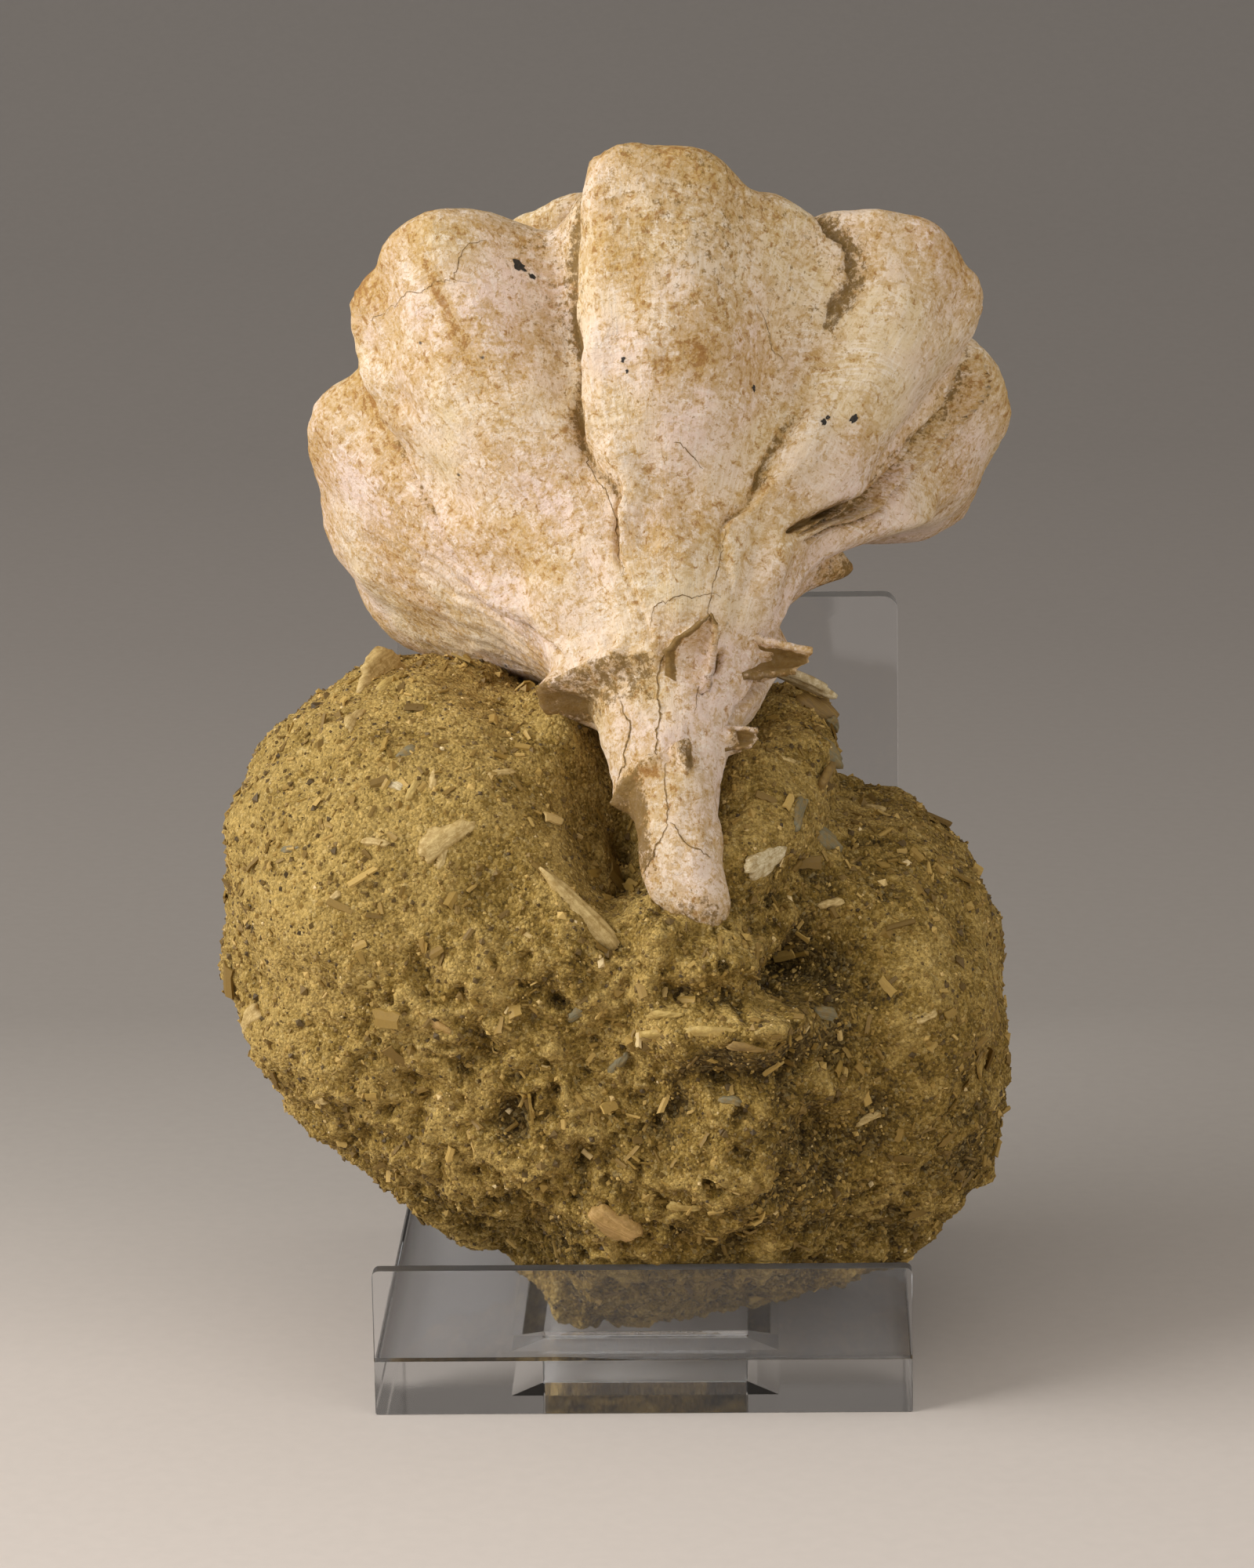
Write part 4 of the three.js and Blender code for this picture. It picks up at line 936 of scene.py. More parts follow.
def canal_spines(height, angle, place, plain):
    """Extra reach, lean along the axis, and the dust, stain and painted shade from the spines and ledges of
    the canal.
    """
    a = wrapped(angle) + 1.5 * noise(place, 2.5, 35)
    h = height + 0.16 * noise(place, 1.6, 36)
    rough = 1 + 0.07 * noise(place, 1.3, 37)

    # Broad blade on the left, a rounded tongue whose rim runs across to the middle spine
    reach = rough * curve_through(
        [(-132, 5), (-112, 9.2), (-101, 11.2), (-91, 11.9), (-80, 11.4), (-62, 9.6), (-40, 8.5), (-20, 7.9),
         (-4, 7.4), (14, 6)], a)
    level = curve_through([(-132, -33), (-100, -32.3), (-86, -32.4), (-72, -33), (-50, -33.3), (-20, -33.6),
                           (0, -34), (20, -35)], a)
    blade = collar(h, reach, level, 3.2, 0.6, plain)
    under = smooth((-6 - a) / 18) * smooth((a + 118) / 16)
    rise = blade - 0.9 * bell(h, level - 2.0, 1.3) * under
    # Painted shade under the blade's rim and under its tip, and darker along the rim
    dust_and_shade = 0.7 * bell(h, level - 1.3, 1.7) * smooth((-2 - a) / 12) * smooth((a + 120) / 15)
    dust_and_shade = (dust_and_shade + 0.3 * bell(h, level, 0.5) * smooth(blade)
            + 0.6 * bell(h, level - 0.6, 1.2) * bell(a, -92, 11))

    # Middle spine: a scoop with a thick stained rim, open down the canal
    reach = (rough * curve_through([(-10, 6.3), (-4, 7.3), (4, 7.8), (12, 8.2), (18, 8.3), (22, 8.2),
                                    (27, 7.6), (31, 6.8), (38, 6)], a))
    level = curve_through([(-10, -34), (0, -33.4), (10, -32.2), (19, -31.4), (28, -31.8), (38, -33)], a)
    up = h - level
    shape = np.where(up > 0, np.exp(-np.maximum(0, up) / 0.8), np.exp(-((np.minimum(0, up) / 0.8) ** 2)))
    rim = np.maximum(0, reach - plain) * shape * smooth((a + 10) / 6) * smooth((38 - a) / 6)
    rise = np.maximum(rise, rim)
    lean = 0.45 * rim
    dust_and_shade = dust_and_shade + 0.55 * smooth(rim - 0.6) * smooth((up + 0.5) / 0.5) * smooth((26 - a) / 10)
    rise = rise - 1.0 * bell(a, 20, 9) * bell(h, -34.8, 2.0)

    # Right spine, a slab broken off square with a stained top
    even = 1 + 0.05 * noise(place, 1.6, 38)
    stump = block(h, a, (-29.5, 82), 1.3, 1.9, 9, 9.6 * even, plain)
    rise = np.maximum(rise, stump)
    dust_and_shade = (dust_and_shade + (0.6 + 0.6 * smooth((h + 29.6) / 0.7)) * smooth((stump - 0.3) / 0.8)
            * smooth((10.5 - plain - stump) / 0.7))

    # Lower ledge on the left, a thin rim that ends in a point
    reach = (rough * curve_through([(-125, 3.2), (-104, 4.2), (-90, 5.3), (-80, 5.1), (-60, 4.7),
                                    (-30, 4.6), (-8, 4.5), (20, 3.5)], a))
    level = curve_through([(-125, -42.8), (-92, -42.6), (-60, -42.3), (-30, -41.6), (-8, -41), (20, -41)],
                          a)
    ledge = collar(h, reach, level, 1.6, 0.35, plain)
    rise = np.maximum(rise, ledge)
    under = smooth((-24 - a) / 22) * smooth((a + 125) / 20)
    rise = rise - 0.6 * bell(h, level - 1.6, 1.2) * under
    # Painted shade under the ledge, and darker along its rim
    dust_and_shade = (dust_and_shade + 0.45 * bell(h, level - 1.5, 1.8) * under
            + 0.5 * bell(h, level + 0.1, 0.6) * smooth((0 - a) / 20))
    dust_and_shade = dust_and_shade + 1.1 * smooth((-32 - a) / 28) * bell(h, -46, 3.4)

    # Broken hollow stub in the middle, and a short stub on the right
    ragged = 0.3 * noise(place, 1.1, 39)
    around = np.hypot(np.radians(a - 17) * 4.6, (h + 41.0) * 0.75) + ragged
    rise = rise + 1.3 * rough * smooth((1.15 - around) / 0.5)
    hollow = np.hypot(np.radians(a - 23) * 4.6 / 0.45, (h + 41.4) / 0.7)
    rise = rise - 1.2 * np.exp(-hollow ** 2)
    # Brown on the stub, and painted shade in its hollow
    dust_and_shade = dust_and_shade + 0.55 * smooth((1.5 - around) / 0.7) + 1.0 * np.exp(-hollow ** 2)
    stub = block(h, a, (-37.7, 80), 0.55, 1.1, 6, 6.6 * even, plain)
    rise = np.maximum(rise, stub)
    dust_and_shade = dust_and_shade + 0.8 * smooth((stub - 0.3) / 0.8)

    # Holes beside the middle spine, with painted shade in them
    for at, wide, tall, deep in (((-33.0, 38), 0.3, 0.85, 1.8), ((-34.2, 29), 0.25, 0.35, 0.8),
                                 ((-35.4, 33), 0.5, 0.25, 0.6)):
        hole = np.hypot(np.radians(a - at[1]) * 7.5 / wide, (h - at[0]) / tall)
        rise = rise - deep * np.exp(-hole ** 4)
        dust_and_shade = dust_and_shade + 1.6 * np.exp(-hole ** 4)
    return rise, lean, dust_and_shade


def shell_skin(h, a, relief):
    """Places of the shell's skin with all its relief, and its knob, dust-and-shade and rust fields."""
    plain = shell_radius(h, a)
    flat = shell_place(h, a, plain)
    edge, edge_dust_and_shade, rust = lip_edges(h, a, flat)
    spine, lean, spine_dust_and_shade = canal_spines(h, a, flat, plain)
    spine_zone = smooth((-26 - h) / 2.5)
    near = wrapped(a)
    dents = (0.45 * noise(flat, 9, 3) + 0.3 * noise(flat, 3.6, 4) + 0.13 * noise(flat, 1.5, 5)
             + 0.06 * noise(flat, 0.8, 6))
    # Swells between the left lip and the next, and the pit where they meet the rock
    dents = (dents + 0.9 * bell(h, -27.5, 2.6) * bell(near, -57, 9)
             - 1.3 * bell(h, -26.6, 1.6) * bell(near, -79, 6))
    dents = (dents + 0.7 * bell(h, -19.5, 3) * bell(near, -71, 4)
             - 0.6 * bell(h, -23.5, 1.8) * bell(near, -70, 4))
    for at, tall, turn, wide, most in TRIMS:
        dents = dents + most * bell(h, at, tall) * bell(near, turn, wide)
    # Folds of the neck beside the right lip
    dents = dents + 0.8 * bell(h, -25.5, 3) * bell(near, 52, 6) - 0.6 * bell(h, -26, 4) * bell(near, 40, 4)
    dents = dents + 0.5 * bell(h, -26, 4) * bell(near, 5, 10) - 0.5 * bell(h, -25, 5) * bell(near, -36, 6)
    # Low growth ribs on the young side
    ribs = (np.sin(np.radians(near) * 52 + 3.4 * noise(flat, 4, 8))
            + 0.5 * np.sin(np.radians(near) * 121 + 3 * noise(flat, 3, 9)))
    dents = dents + 0.17 * ribs * smooth((-72 - near) / 12) * smooth((near + 138) / 12) * bell(h, -19, 8)
    radius = (plain + relief * (edge + dents * smooth((h + 56) / 6)) * smooth((20 - h) / 6)
              + spine * spine_zone)
    # Low brown knob under the flange on the right
    radius = radius + 4.2 * bell(h, -14.8, 2.2) * bell(near, 104, 7)
    # The young end broadens to the left where it lies in the rock
    radius = radius + 0.6 * bell(h, -49, 2.8) * bell(near, -84, 24) - 0.8 * smooth((-52 - h) / 2)
    place = shell_place(h + lean * spine_zone, a, np.maximum(radius, 0.4))
    turned = (a - LIP_ANGLE) % 360
    level = h - (APEX_UP - (APEX_UP + 3.3) * WHORL_GROWTH ** -(turned / 360))
    depth = hollow_depth(level, a)
    knob = bell(level, 2, 7) * (1 - np.clip(depth / 4, 0, 1))
    hollow_shade = np.clip((depth - 2.0) / 4, 0, 1) * bell(level, -4, 12)
    # Painted shade deep in the hollows between the knobs; the low knob under the flange is brown, with
    # painted shade from the flange over it
    dust_and_shade = edge_dust_and_shade + spine_dust_and_shade * spine_zone + 0.3 * hollow_shade + 0.9 * bell(h, -15.2, 2.6) * bell(near, 106, 9)
    # Stain on the middle rib, rock dust near the canal's tip, and darker on the side that faces down
    dust_and_shade = dust_and_shade + 0.35 * bell(near, 8, 17) * bell(h, -4, 11)
    dust_and_shade = dust_and_shade + 0.6 * smooth((-50.5 - h) / 2.5) + 0.35 * smooth((np.abs(near) - 112) / 20)
    for at, turn, tall, wide in RUST:
        rust = rust + bell(h, at, tall) * bell(np.radians(wrapped(a - turn)) * plain, 0, wide)
    return place, knob, np.clip(dust_and_shade, 0, 1.2), np.clip(rust, 0, 1)


def shell_surface(columns, rows, relief):
    """Points, faces and fields of the whole shell, as rings from the canal's tip to the apex."""
    far = columns // 5
    shares, marks = np.array(COLUMN_SHARES).T
    angles = np.concatenate([np.interp(np.linspace(0, 1, columns, endpoint=False), shares, marks),
                             np.linspace(NEAR_SIDE_TO, LIP_ANGLE + 360, far, endpoint=False)])
    canal, flank = int(CANAL_ROWS * rows), int(FLANK_ROWS * rows)
    heights = np.concatenate([
        np.linspace(CANAL_END, CANAL_TO, canal, endpoint=False),
        np.linspace(CANAL_TO, FLANK_TO, flank, endpoint=False),
        np.linspace(FLANK_TO, TOP_ROW, rows - canal - flank),
    ])
    h, a = np.meshgrid(heights, angles, indexing="ij")
    place, knob, dust_and_shade, rust = shell_skin(h, a, relief)
    # Growth lines run along the shell and turn back on the far side, so that they meet again at the lip
    along = np.cumsum(np.linalg.norm(np.diff(place, axis=0, prepend=place[:1]), axis=-1).mean(1))
    turned = a - LIP_ANGLE
    turns = np.where(turned < 240, 0.5 * turned, 360 - turned)
    growth = np.stack([turns, along[:, None] + 0 * a, 0 * a], axis=-1)
    count = len(angles)
    points = np.concatenate([place.reshape(-1, 3), axis_point(np.array([END_POINT, TOP_POINT]))])
    row, side = np.meshgrid(np.arange(len(heights) - 1), np.arange(count), indexing="ij")
    here, after = row * count, (side + 1) % count
    quads = np.stack([here + side, here + after, here + count + after, here + count + side],
                     axis=-1).reshape(-1, 4)
    ring, last = np.arange(count), (len(heights) - 1) * count
    caps = np.concatenate([
        np.stack([np.full(count, len(points) - 2), (ring + 1) % count, ring], axis=-1),
        np.stack([last + ring, last + (ring + 1) % count, np.full(count, len(points) - 1)], axis=-1),
    ])
    faces = np.concatenate([quads[:, [0, 1, 2]], quads[:, [0, 2, 3]], caps])
    ends = {"knob": [0.2, 0.2], "dust_and_shade": [0.8, 0.3], "rust": [0, 0]}
    fields = {name: np.concatenate([values.ravel(), ends[name]])
              for name, values in (("knob", knob), ("dust_and_shade", dust_and_shade), ("rust", rust))}
    fields["growth"] = np.concatenate([growth.reshape(-1, 3), growth[0, :1], growth[-1, :1]])
    return points, faces, fields


def spine_trough(spine, seed, sides=30, rows=34):
    """Points, faces and fields of one spine: a gutter with a thick ragged wall."""
    base, tip = np.array(spine["base"]), np.array(spine["tip"])
    length = np.linalg.norm(tip - base)
    ahead = (tip - base) / length
    opening = np.array(spine["open"]) - np.dot(spine["open"], ahead) * ahead
    opening /= np.linalg.norm(opening)
    side = np.cross(ahead, opening)
    u, v = np.meshgrid(np.linspace(0, 1, rows), np.linspace(-1, 1, sides), indexing="ij")
    flat = base + (u * length)[..., None] * ahead + (v * 1.5)[..., None] * side
    half = np.where(v < 0, curve_through(spine["first"], u), curve_through(spine["second"], u))
    half = half * (1 + 0.15 * noise(flat, 1.0, seed))
    back = -curve_through(spine["depth"], u) * (1 - v * v) + 0.14 * noise(flat, 0.8, seed + 1)
    # The end is broken off unevenly
    along = u * length * (1 + 0.06 * noise(flat, 0.8, seed + 2)) - spine["slant"] * np.maximum(v, 0) * u
    inner = base + along[..., None] * ahead + (v * half)[..., None] * side + back[..., None] * opening
    wall = spine["wall"] * (1.15 - 0.35 * u)
    outer = (inner - (wall * (1 - 0.75 * v ** 4))[..., None] * opening
             + (0.9 * wall * v ** 5)[..., None] * side)
    inside, first, second, outside, broken = spine["dust_and_shade"]
    whole = smooth((1 - u) * length / 0.7)
    mottle = 0.3 * noise(flat, 0.9, seed + 3)
    rim = mix(inside, np.where(v < 0, first, second), smooth((np.abs(v) - 0.68) / 0.2))
    inner_dirt = mix(broken, rim, whole) + mottle
    outer_dirt = mix(broken, mix(outside, rim, v ** 8), whole) + mottle
    dust_and_shade = np.concatenate([inner_dirt, outer_dirt[:, ::-1]], axis=1)
    ring = np.concatenate([inner, outer[:, ::-1]], axis=1)
    across = np.concatenate([v * half, (v * half)[:, ::-1]], axis=1)
    count = ring.shape[1]
    row, place = np.meshgrid(np.arange(rows - 1), np.arange(count), indexing="ij")
    here, after = row * count, (place + 1) % count
    quads = np.stack([here + place, here + after, here + count + after, here + count + place],
                     axis=-1).reshape(-1, 4)
    last = (rows - 1) * count
    caps = [[last + i, last + i + 1, last + count - 2 - i, last + count - 1 - i] for i in range(sides - 1)]
    caps += [[i + 1, i, count - 1 - i, count - 2 - i] for i in range(sides - 1)]
    growth = np.stack([np.repeat(u[:, :1] * length, count, 1), across, 0 * across], axis=-1).reshape(-1, 3)
    blank = np.zeros(ring.shape[0] * count)
    fields = {"growth": growth, "knob": blank, "dust_and_shade": np.clip(dust_and_shade.ravel(), 0, 1.6), "rust": blank}
    return ring.reshape(-1, 3), np.concatenate([quads, np.array(caps)]), fields


def crack_ribbon(path, widest, relief, draw):
    """A thin jagged strip along a path of heights and angles on the shell's skin."""
    path = np.array(path, float)
    reach = shell_radius(path[:, 0], path[:, 1])
    steps = np.hypot(np.diff(path[:, 0]), np.radians(np.diff(path[:, 1])) * reach[:-1])
    run = np.concatenate([[0], np.cumsum(steps)])
    count = max(6, int(run[-1] / 0.22))
    t = np.linspace(0, run[-1], count)
    h, a = np.interp(t, run, path[:, 0]), np.interp(t, run, path[:, 1])
    radius = np.interp(t, run, reach)
    sway = np.cumsum(draw.normal(0, 0.09, (count, 2)), axis=0)
    sway -= np.linspace(0, 1, count)[:, None] * sway[-1]
    h, a = h + sway[:, 0], a + np.degrees(sway[:, 1] / radius)
    ahead = np.stack([np.gradient(h), np.radians(np.gradient(a)) * radius], axis=-1)
    ahead /= np.linalg.norm(ahead, axis=1, keepdims=True)
    wide = (widest * draw.uniform(0.35, 1, count)
            * np.sqrt(np.sin(np.linspace(0.08, math.pi - 0.08, count))) / 2)
    points = []
    for side in (-1, 1):
        aside = side * wide
        turned = np.degrees(aside * ahead[:, 0] / radius)
        place = shell_skin(h - aside * ahead[:, 1], a + turned, relief)[0]
        out = place - axis_point(h)
        points.append(place + 0.05 * out / np.linalg.norm(out, axis=1, keepdims=True))
    faces = np.array([[2 * i, 2 * i + 1, 2 * i + 3, 2 * i + 2] for i in range(count - 1)])
    return np.stack(points, axis=1).reshape(-1, 3), faces


def spot_disc(height, angle, half, relief, draw, sides=14):
    """A small ragged disc on the shell's skin."""
    turn = np.linspace(0, 2 * math.pi, sides, endpoint=False)
    reach = float(shell_radius(np.array(height * 1.0), np.array(angle * 1.0)))
    size = half * draw.uniform(0.55, 1.15, sides)
    h = np.concatenate([[height], height + size * np.sin(turn)])
    a = np.concatenate([[angle], angle + np.degrees(size * np.cos(turn) / reach)])
    place = shell_skin(h, a, relief)[0]
    out = place - axis_point(h)
    place = place + 0.06 * out / np.linalg.norm(out, axis=1, keepdims=True)
    return place, np.array([[0, 1 + i, 1 + (i + 1) % sides] for i in range(sides)])


class BuildFossilShell(bpy.types.Operator):
    """Makes the murex shell, with its lips and canal spines"""
    bl_idname = "fossil.build_shell"
    bl_label = "Shell"

    def execute(self, context):
        s = context.scene.fossil_shell
        points, faces, fields = shell_surface(s.columns, s.rows, s.relief)
        shell = make_mesh("murex_shell", points, faces, fields)
        chalk = chalky_shell()
        settle(shell, "fossil_shell", chalk, "shell")
        for seed, (name, spine) in enumerate(SPINES.items()):
            points, faces, fields = spine_trough(spine, 80 + 5 * seed)
            settle(make_mesh("spine_" + name, points, faces, fields), "fossil_shell", chalk)
        return {"FINISHED"}


class BuildShellMarks(bpy.types.Operator):
    """Lays dark strips of painted shade along the fine cracks, and the black spots on the shell"""
    bl_idname = "fossil.build_marks"
    bl_label = "Cracks and spots"

    def execute(self, context):
        s = context.scene.fossil_shell
        draw = np.random.default_rng(7)
        for name, look, parts in (
            ("shell_cracks", crack_shade(),
             [crack_ribbon(path, wide, s.relief, draw) for path, wide in CRACKS]),
            ("shell_spots", black_spots(), [spot_disc(*spot, s.relief, draw) for spot in SPOTS]),
        ):
            starts = np.cumsum([0] + [len(points) for points, _ in parts])
            points = np.concatenate([points for points, _ in parts])
            faces = np.concatenate([faces + start for (_, faces), start in zip(parts, starts)])
            settle(make_mesh(name, points, faces), "fossil_shell", look)
        return {"FINISHED"}


def rock_relief(direction):
    """Broken face of the rock on top of its plain skin: extra reach, and how dark each spot is painted:
    painted shade in pits and hollows, under the ledge and towards the lower right, painted light on the
    left, and paler worn skin.
    """
    skin = direction * rock_radius(direction)[..., None] + ROCK
    x, y, z = skin[..., 0], skin[..., 1], skin[..., 2]
    warp = np.stack([noise(skin, 5, 51), noise(skin, 5, 52), noise(skin, 5, 53)], axis=-1)
    bent = skin + 1.1 * warp
    # Skin rubbed smooth at the upper left, the upper right and the right-hand side, broken elsewhere
    edge = 2.5 * noise(skin, 6, 54)
    worn = smooth((z + edge - 47 - 0.35 * x) / 5) * smooth((6 - x) / 6)
    worn = np.maximum(worn, smooth((x + edge - 19) / 6) * smooth((z - 20) / 14))
    worn = np.maximum(worn, smooth((x - 4) / 5) * smooth((z + edge - 48) / 4))
    worn = np.maximum(worn, 0.6 * smooth((-24 - x) / 8) * smooth((z - 20) / 10))
    broken = 1 - 0.72 * worn
    clods = 1.2 * np.abs(noise(bent, 7, 11)) - 0.35 + 0.6 * noise(bent, 3.4, 12)
    creases = 0.6 * noise(bent, 1.7, 13) - 0.5 * np.abs(noise(bent, 2.4, 17)) + 0.15
    holes = (smooth((noise(bent, 2.6, 18) - 0.45) / 0.25) * 0.8
             + smooth((noise(bent, 1.3, 19) - 0.42) / 0.25) * 0.5)
    fine = 0.4 * noise(skin, 1.0, 14) + 0.26 * noise(skin, 0.62, 15)
    front = smooth((14 - y) / 8)
    rise = 0.8 * noise(skin, 9, 16) + (clods + creases - holes) * broken + fine * (0.5 + 0.5 * broken)
    rise = rise - 0.7 * (1 - worn) * front
    # Tongue-shaped ledge under the canal's tip, with a deep hollow above it and shade below
    span = smooth((x - 1) / 3) * smooth((20.5 - x) / 3) * front
    lip = z - 37.4 + 0.9 * noise(skin, 5, 55) - 0.05 * (x - 10)
    rim = np.where(lip < 0, np.exp(-((lip / 2.4) ** 2)), np.exp(-((lip / 0.7) ** 2)))
    rise = (rise + (2.2 * rim - 1.6 * bell(lip, 3.2, 1.8)
                    - 1.7 * bell(lip, -4.6, 1.7) * smooth((x - 3) / 4)) * span)
    for at_x, at_z, deep, half_x, half_z in ROCK_HOLLOWS:
        ragged = 1 + 0.5 * noise(skin, 2.4, 56)
        rise = (rise - deep * ragged * np.exp(-((x - at_x) / half_x) ** 2 - ((z - at_z) / half_z) ** 2)
                * front)
    # It closes round the canal's tip, and narrows behind the lip of the stand
    rise = (rise + (1.5 * bell(x, 8.2, 3.0) * bell(z, 42.6, 1.5)
                    + 2.2 * bell(x, 1.8, 2.6) * bell(z, 45.2, 1.8)) * front)
    rise = (rise - 2.8 * bell(x, 21, 5) * bell(z, 11, 6) * front
            - 2.2 * bell(x, -12, 5) * bell(z, 10, 5) * front)
    # Calm round the large fragments, which sit on the plain skin
    calm = 0
    for name, look, at_x, at_z, *rest in FRAGMENTS:
        calm = np.maximum(calm, np.exp(-((x - at_x) ** 2 + (z - at_z) ** 2) / 5) * front)
    rise = rise * (1 - 0.75 * calm)
    # Painted shade: darker in the holes and creases, under the ledge, in the broken hollows and towards the
    # lower right and the bottom; painted light on the left; worn skin is paler
    pit_shade = np.clip(0.5 * holes - 0.4 * (clods + creases), -0.45, 0.9) * broken
    pit_shade = pit_shade + 0.5 * bell(lip, -3.2, 2) * span + 0.10 * smooth((x - 4) / 14) + 0.10 * smooth((34 - z) / 16)
    for at_x, at_z, deep, half_x, half_z in ROCK_HOLLOWS:
        pit_shade = pit_shade + 0.13 * deep * np.exp(-((x - at_x) / half_x) ** 2 - ((z - at_z) / half_z) ** 2) * front
    return rise, pit_shade - 0.12 * smooth((-x - 8) / 16) - 0.1 * worn


def cube_sphere(cells):
    """Unit directions and quads of a sphere, finer towards the front."""
    line = np.tan(np.linspace(-1, 1, cells + 1) * math.pi / 4)
    keys, places, faces = [], [], []
    u, v = np.meshgrid(np.arange(cells + 1), np.arange(cells + 1), indexing="ij")
    for axis in range(3):
        for side in (0, cells):
            key = np.zeros(u.shape + (3,), int)
            key[..., axis] = side
            key[..., (axis + 1) % 3], key[..., (axis + 2) % 3] = u, v
            keys.append(key.reshape(-1, 3))
            corner = np.arange(keys[-1].shape[0]).reshape(u.shape) + sum(len(k) for k in keys[:-1])
            quad = [corner[:-1, :-1], corner[1:, :-1], corner[1:, 1:], corner[:-1, 1:]]
            if side == 0:
                quad.reverse()
            faces.append(np.stack(quad, axis=-1).reshape(-1, 4))
    keys = np.concatenate(keys)
    unique, index = np.unique(keys @ np.array([1, 1000, 1000000]), return_inverse=True)
    first = np.zeros(len(unique), int)
    first[index] = np.arange(len(keys))
    places = line[keys[first]]
    places = places / np.linalg.norm(places, axis=1, keepdims=True) + np.array([0, -0.32, 0])
    return places / np.linalg.norm(places, axis=1, keepdims=True), index[np.concatenate(faces)]


def keep_off_stand(points):
    """Presses places in mm back to the faces of the stand, where the rock leans on it."""
    x, y, z = points.T
    width, near = STAND_WIDE / 2 + 0.3, 0.25
    window = (np.abs(x) < WINDOW_WIDE / 2 - near) & (y > WINDOW_FROM + near) & (y < WINDOW_TO - near)
    over = (np.abs(x) < width) & (y > -0.3) & (y < BASE_DEEP + 0.3)
    z[:] = np.where(over, np.maximum(z, np.where(window, 2.8, BASE_THICK + near)), z)
    behind_lip = (np.abs(x) < width) & (z < BASE_THICK + LIP_HIGH + 0.3) & (y < LIP_THICK + near)
    y[:] = np.where(behind_lip, LIP_THICK + near, y)
    before_back = (np.abs(x) < width) & (z < BASE_THICK + BACK_HIGH + 0.3) & (y > BASE_DEEP - BACK_THICK
                                                                              - near)
    y[:] = np.where(before_back, BASE_DEEP - BACK_THICK - near, y)


class BuildMatrix(bpy.types.Operator):
    """Makes the lump of shelly sandstone, pitted and ledged"""
    bl_idname = "fossil.build_matrix"
    bl_label = "Matrix"

    def execute(self, context):
        s = context.scene.fossil_rock
        direction, quads = cube_sphere(s.cells)
        rise, pit_shade = rock_relief(direction)
        points = direction * (rock_radius(direction) + rise)[:, None] + ROCK
        keep_off_stand(points)
        halves = np.concatenate([quads[:, [0, 1, 2]], quads[:, [0, 2, 3]]])
        rock = make_mesh("sandstone_matrix", points, halves, {"pit_shade": pit_shade})
        stone = shelly_sandstone("Shelly sandstone", s.dark, s.mid, s.light, s.grain, 0.95)
        settle(rock, "shelly_sandstone", stone, "matrix")
        return {"FINISHED"}


def scattered(rock, count, draw, lowest_z):
    """Random places and normals on the rock's shown skin, away from the shell and the stand."""
    mesh = rock.data
    corners = np.empty(len(mesh.polygons) * 3, np.int32)
    mesh.loops.foreach_get("vertex_index", corners)
    places = np.empty(len(mesh.vertices) * 3, np.float32)
    mesh.vertices.foreach_get("co", places)
    triangles = (places.reshape(-1, 3) * 1000 - STAND)[corners.reshape(-1, 3)]
    normals = np.cross(triangles[:, 1] - triangles[:, 0], triangles[:, 2] - triangles[:, 0])
    area = np.linalg.norm(normals, axis=1)
    chosen = draw.choice(len(area), count * 2, p=area / area.sum())
    shares = draw.dirichlet((1, 1, 1), count * 2)
    spots = (triangles[chosen] * shares[..., None]).sum(1)
    facing = normals[chosen] / np.maximum(area[chosen], 1e-9)[:, None]
    height = (spots - RING) @ AXIS
    middle = axis_point(height)
    reach = np.linalg.norm(spots - middle, axis=1)
    turn = np.degrees(np.arctan2((spots - middle) @ SHELL_RIGHT, (spots - middle) @ SHELL_TOP))
    clear = (height < CANAL_END - 1.5) | (reach > shell_radius(height, turn) + 0.5)
    clear &= (spots[:, 2] > lowest_z) & ~((spots[:, 1] > 49.5) & (spots[:, 2] < 64.5))
    clear &= ~((spots[:, 1] < 2.6) & (spots[:, 2] < 14.6))
    return spots[clear][:count], facing[clear][:count]


def frames(normals, draw):
    """Right and up directions square to each normal, turned at random."""
    aid = np.where(np.abs(normals[:, 2:3]) < 0.9, [[0, 0, 1]], [[1, 0, 0]])
    right = np.cross(aid, normals)
    right /= np.linalg.norm(right, axis=1, keepdims=True)
    up = np.cross(normals, right)
    turn = draw.uniform(0, 2 * math.pi, len(normals))[:, None]
    return np.cos(turn) * right + np.sin(turn) * up, np.cos(turn) * up - np.sin(turn) * right


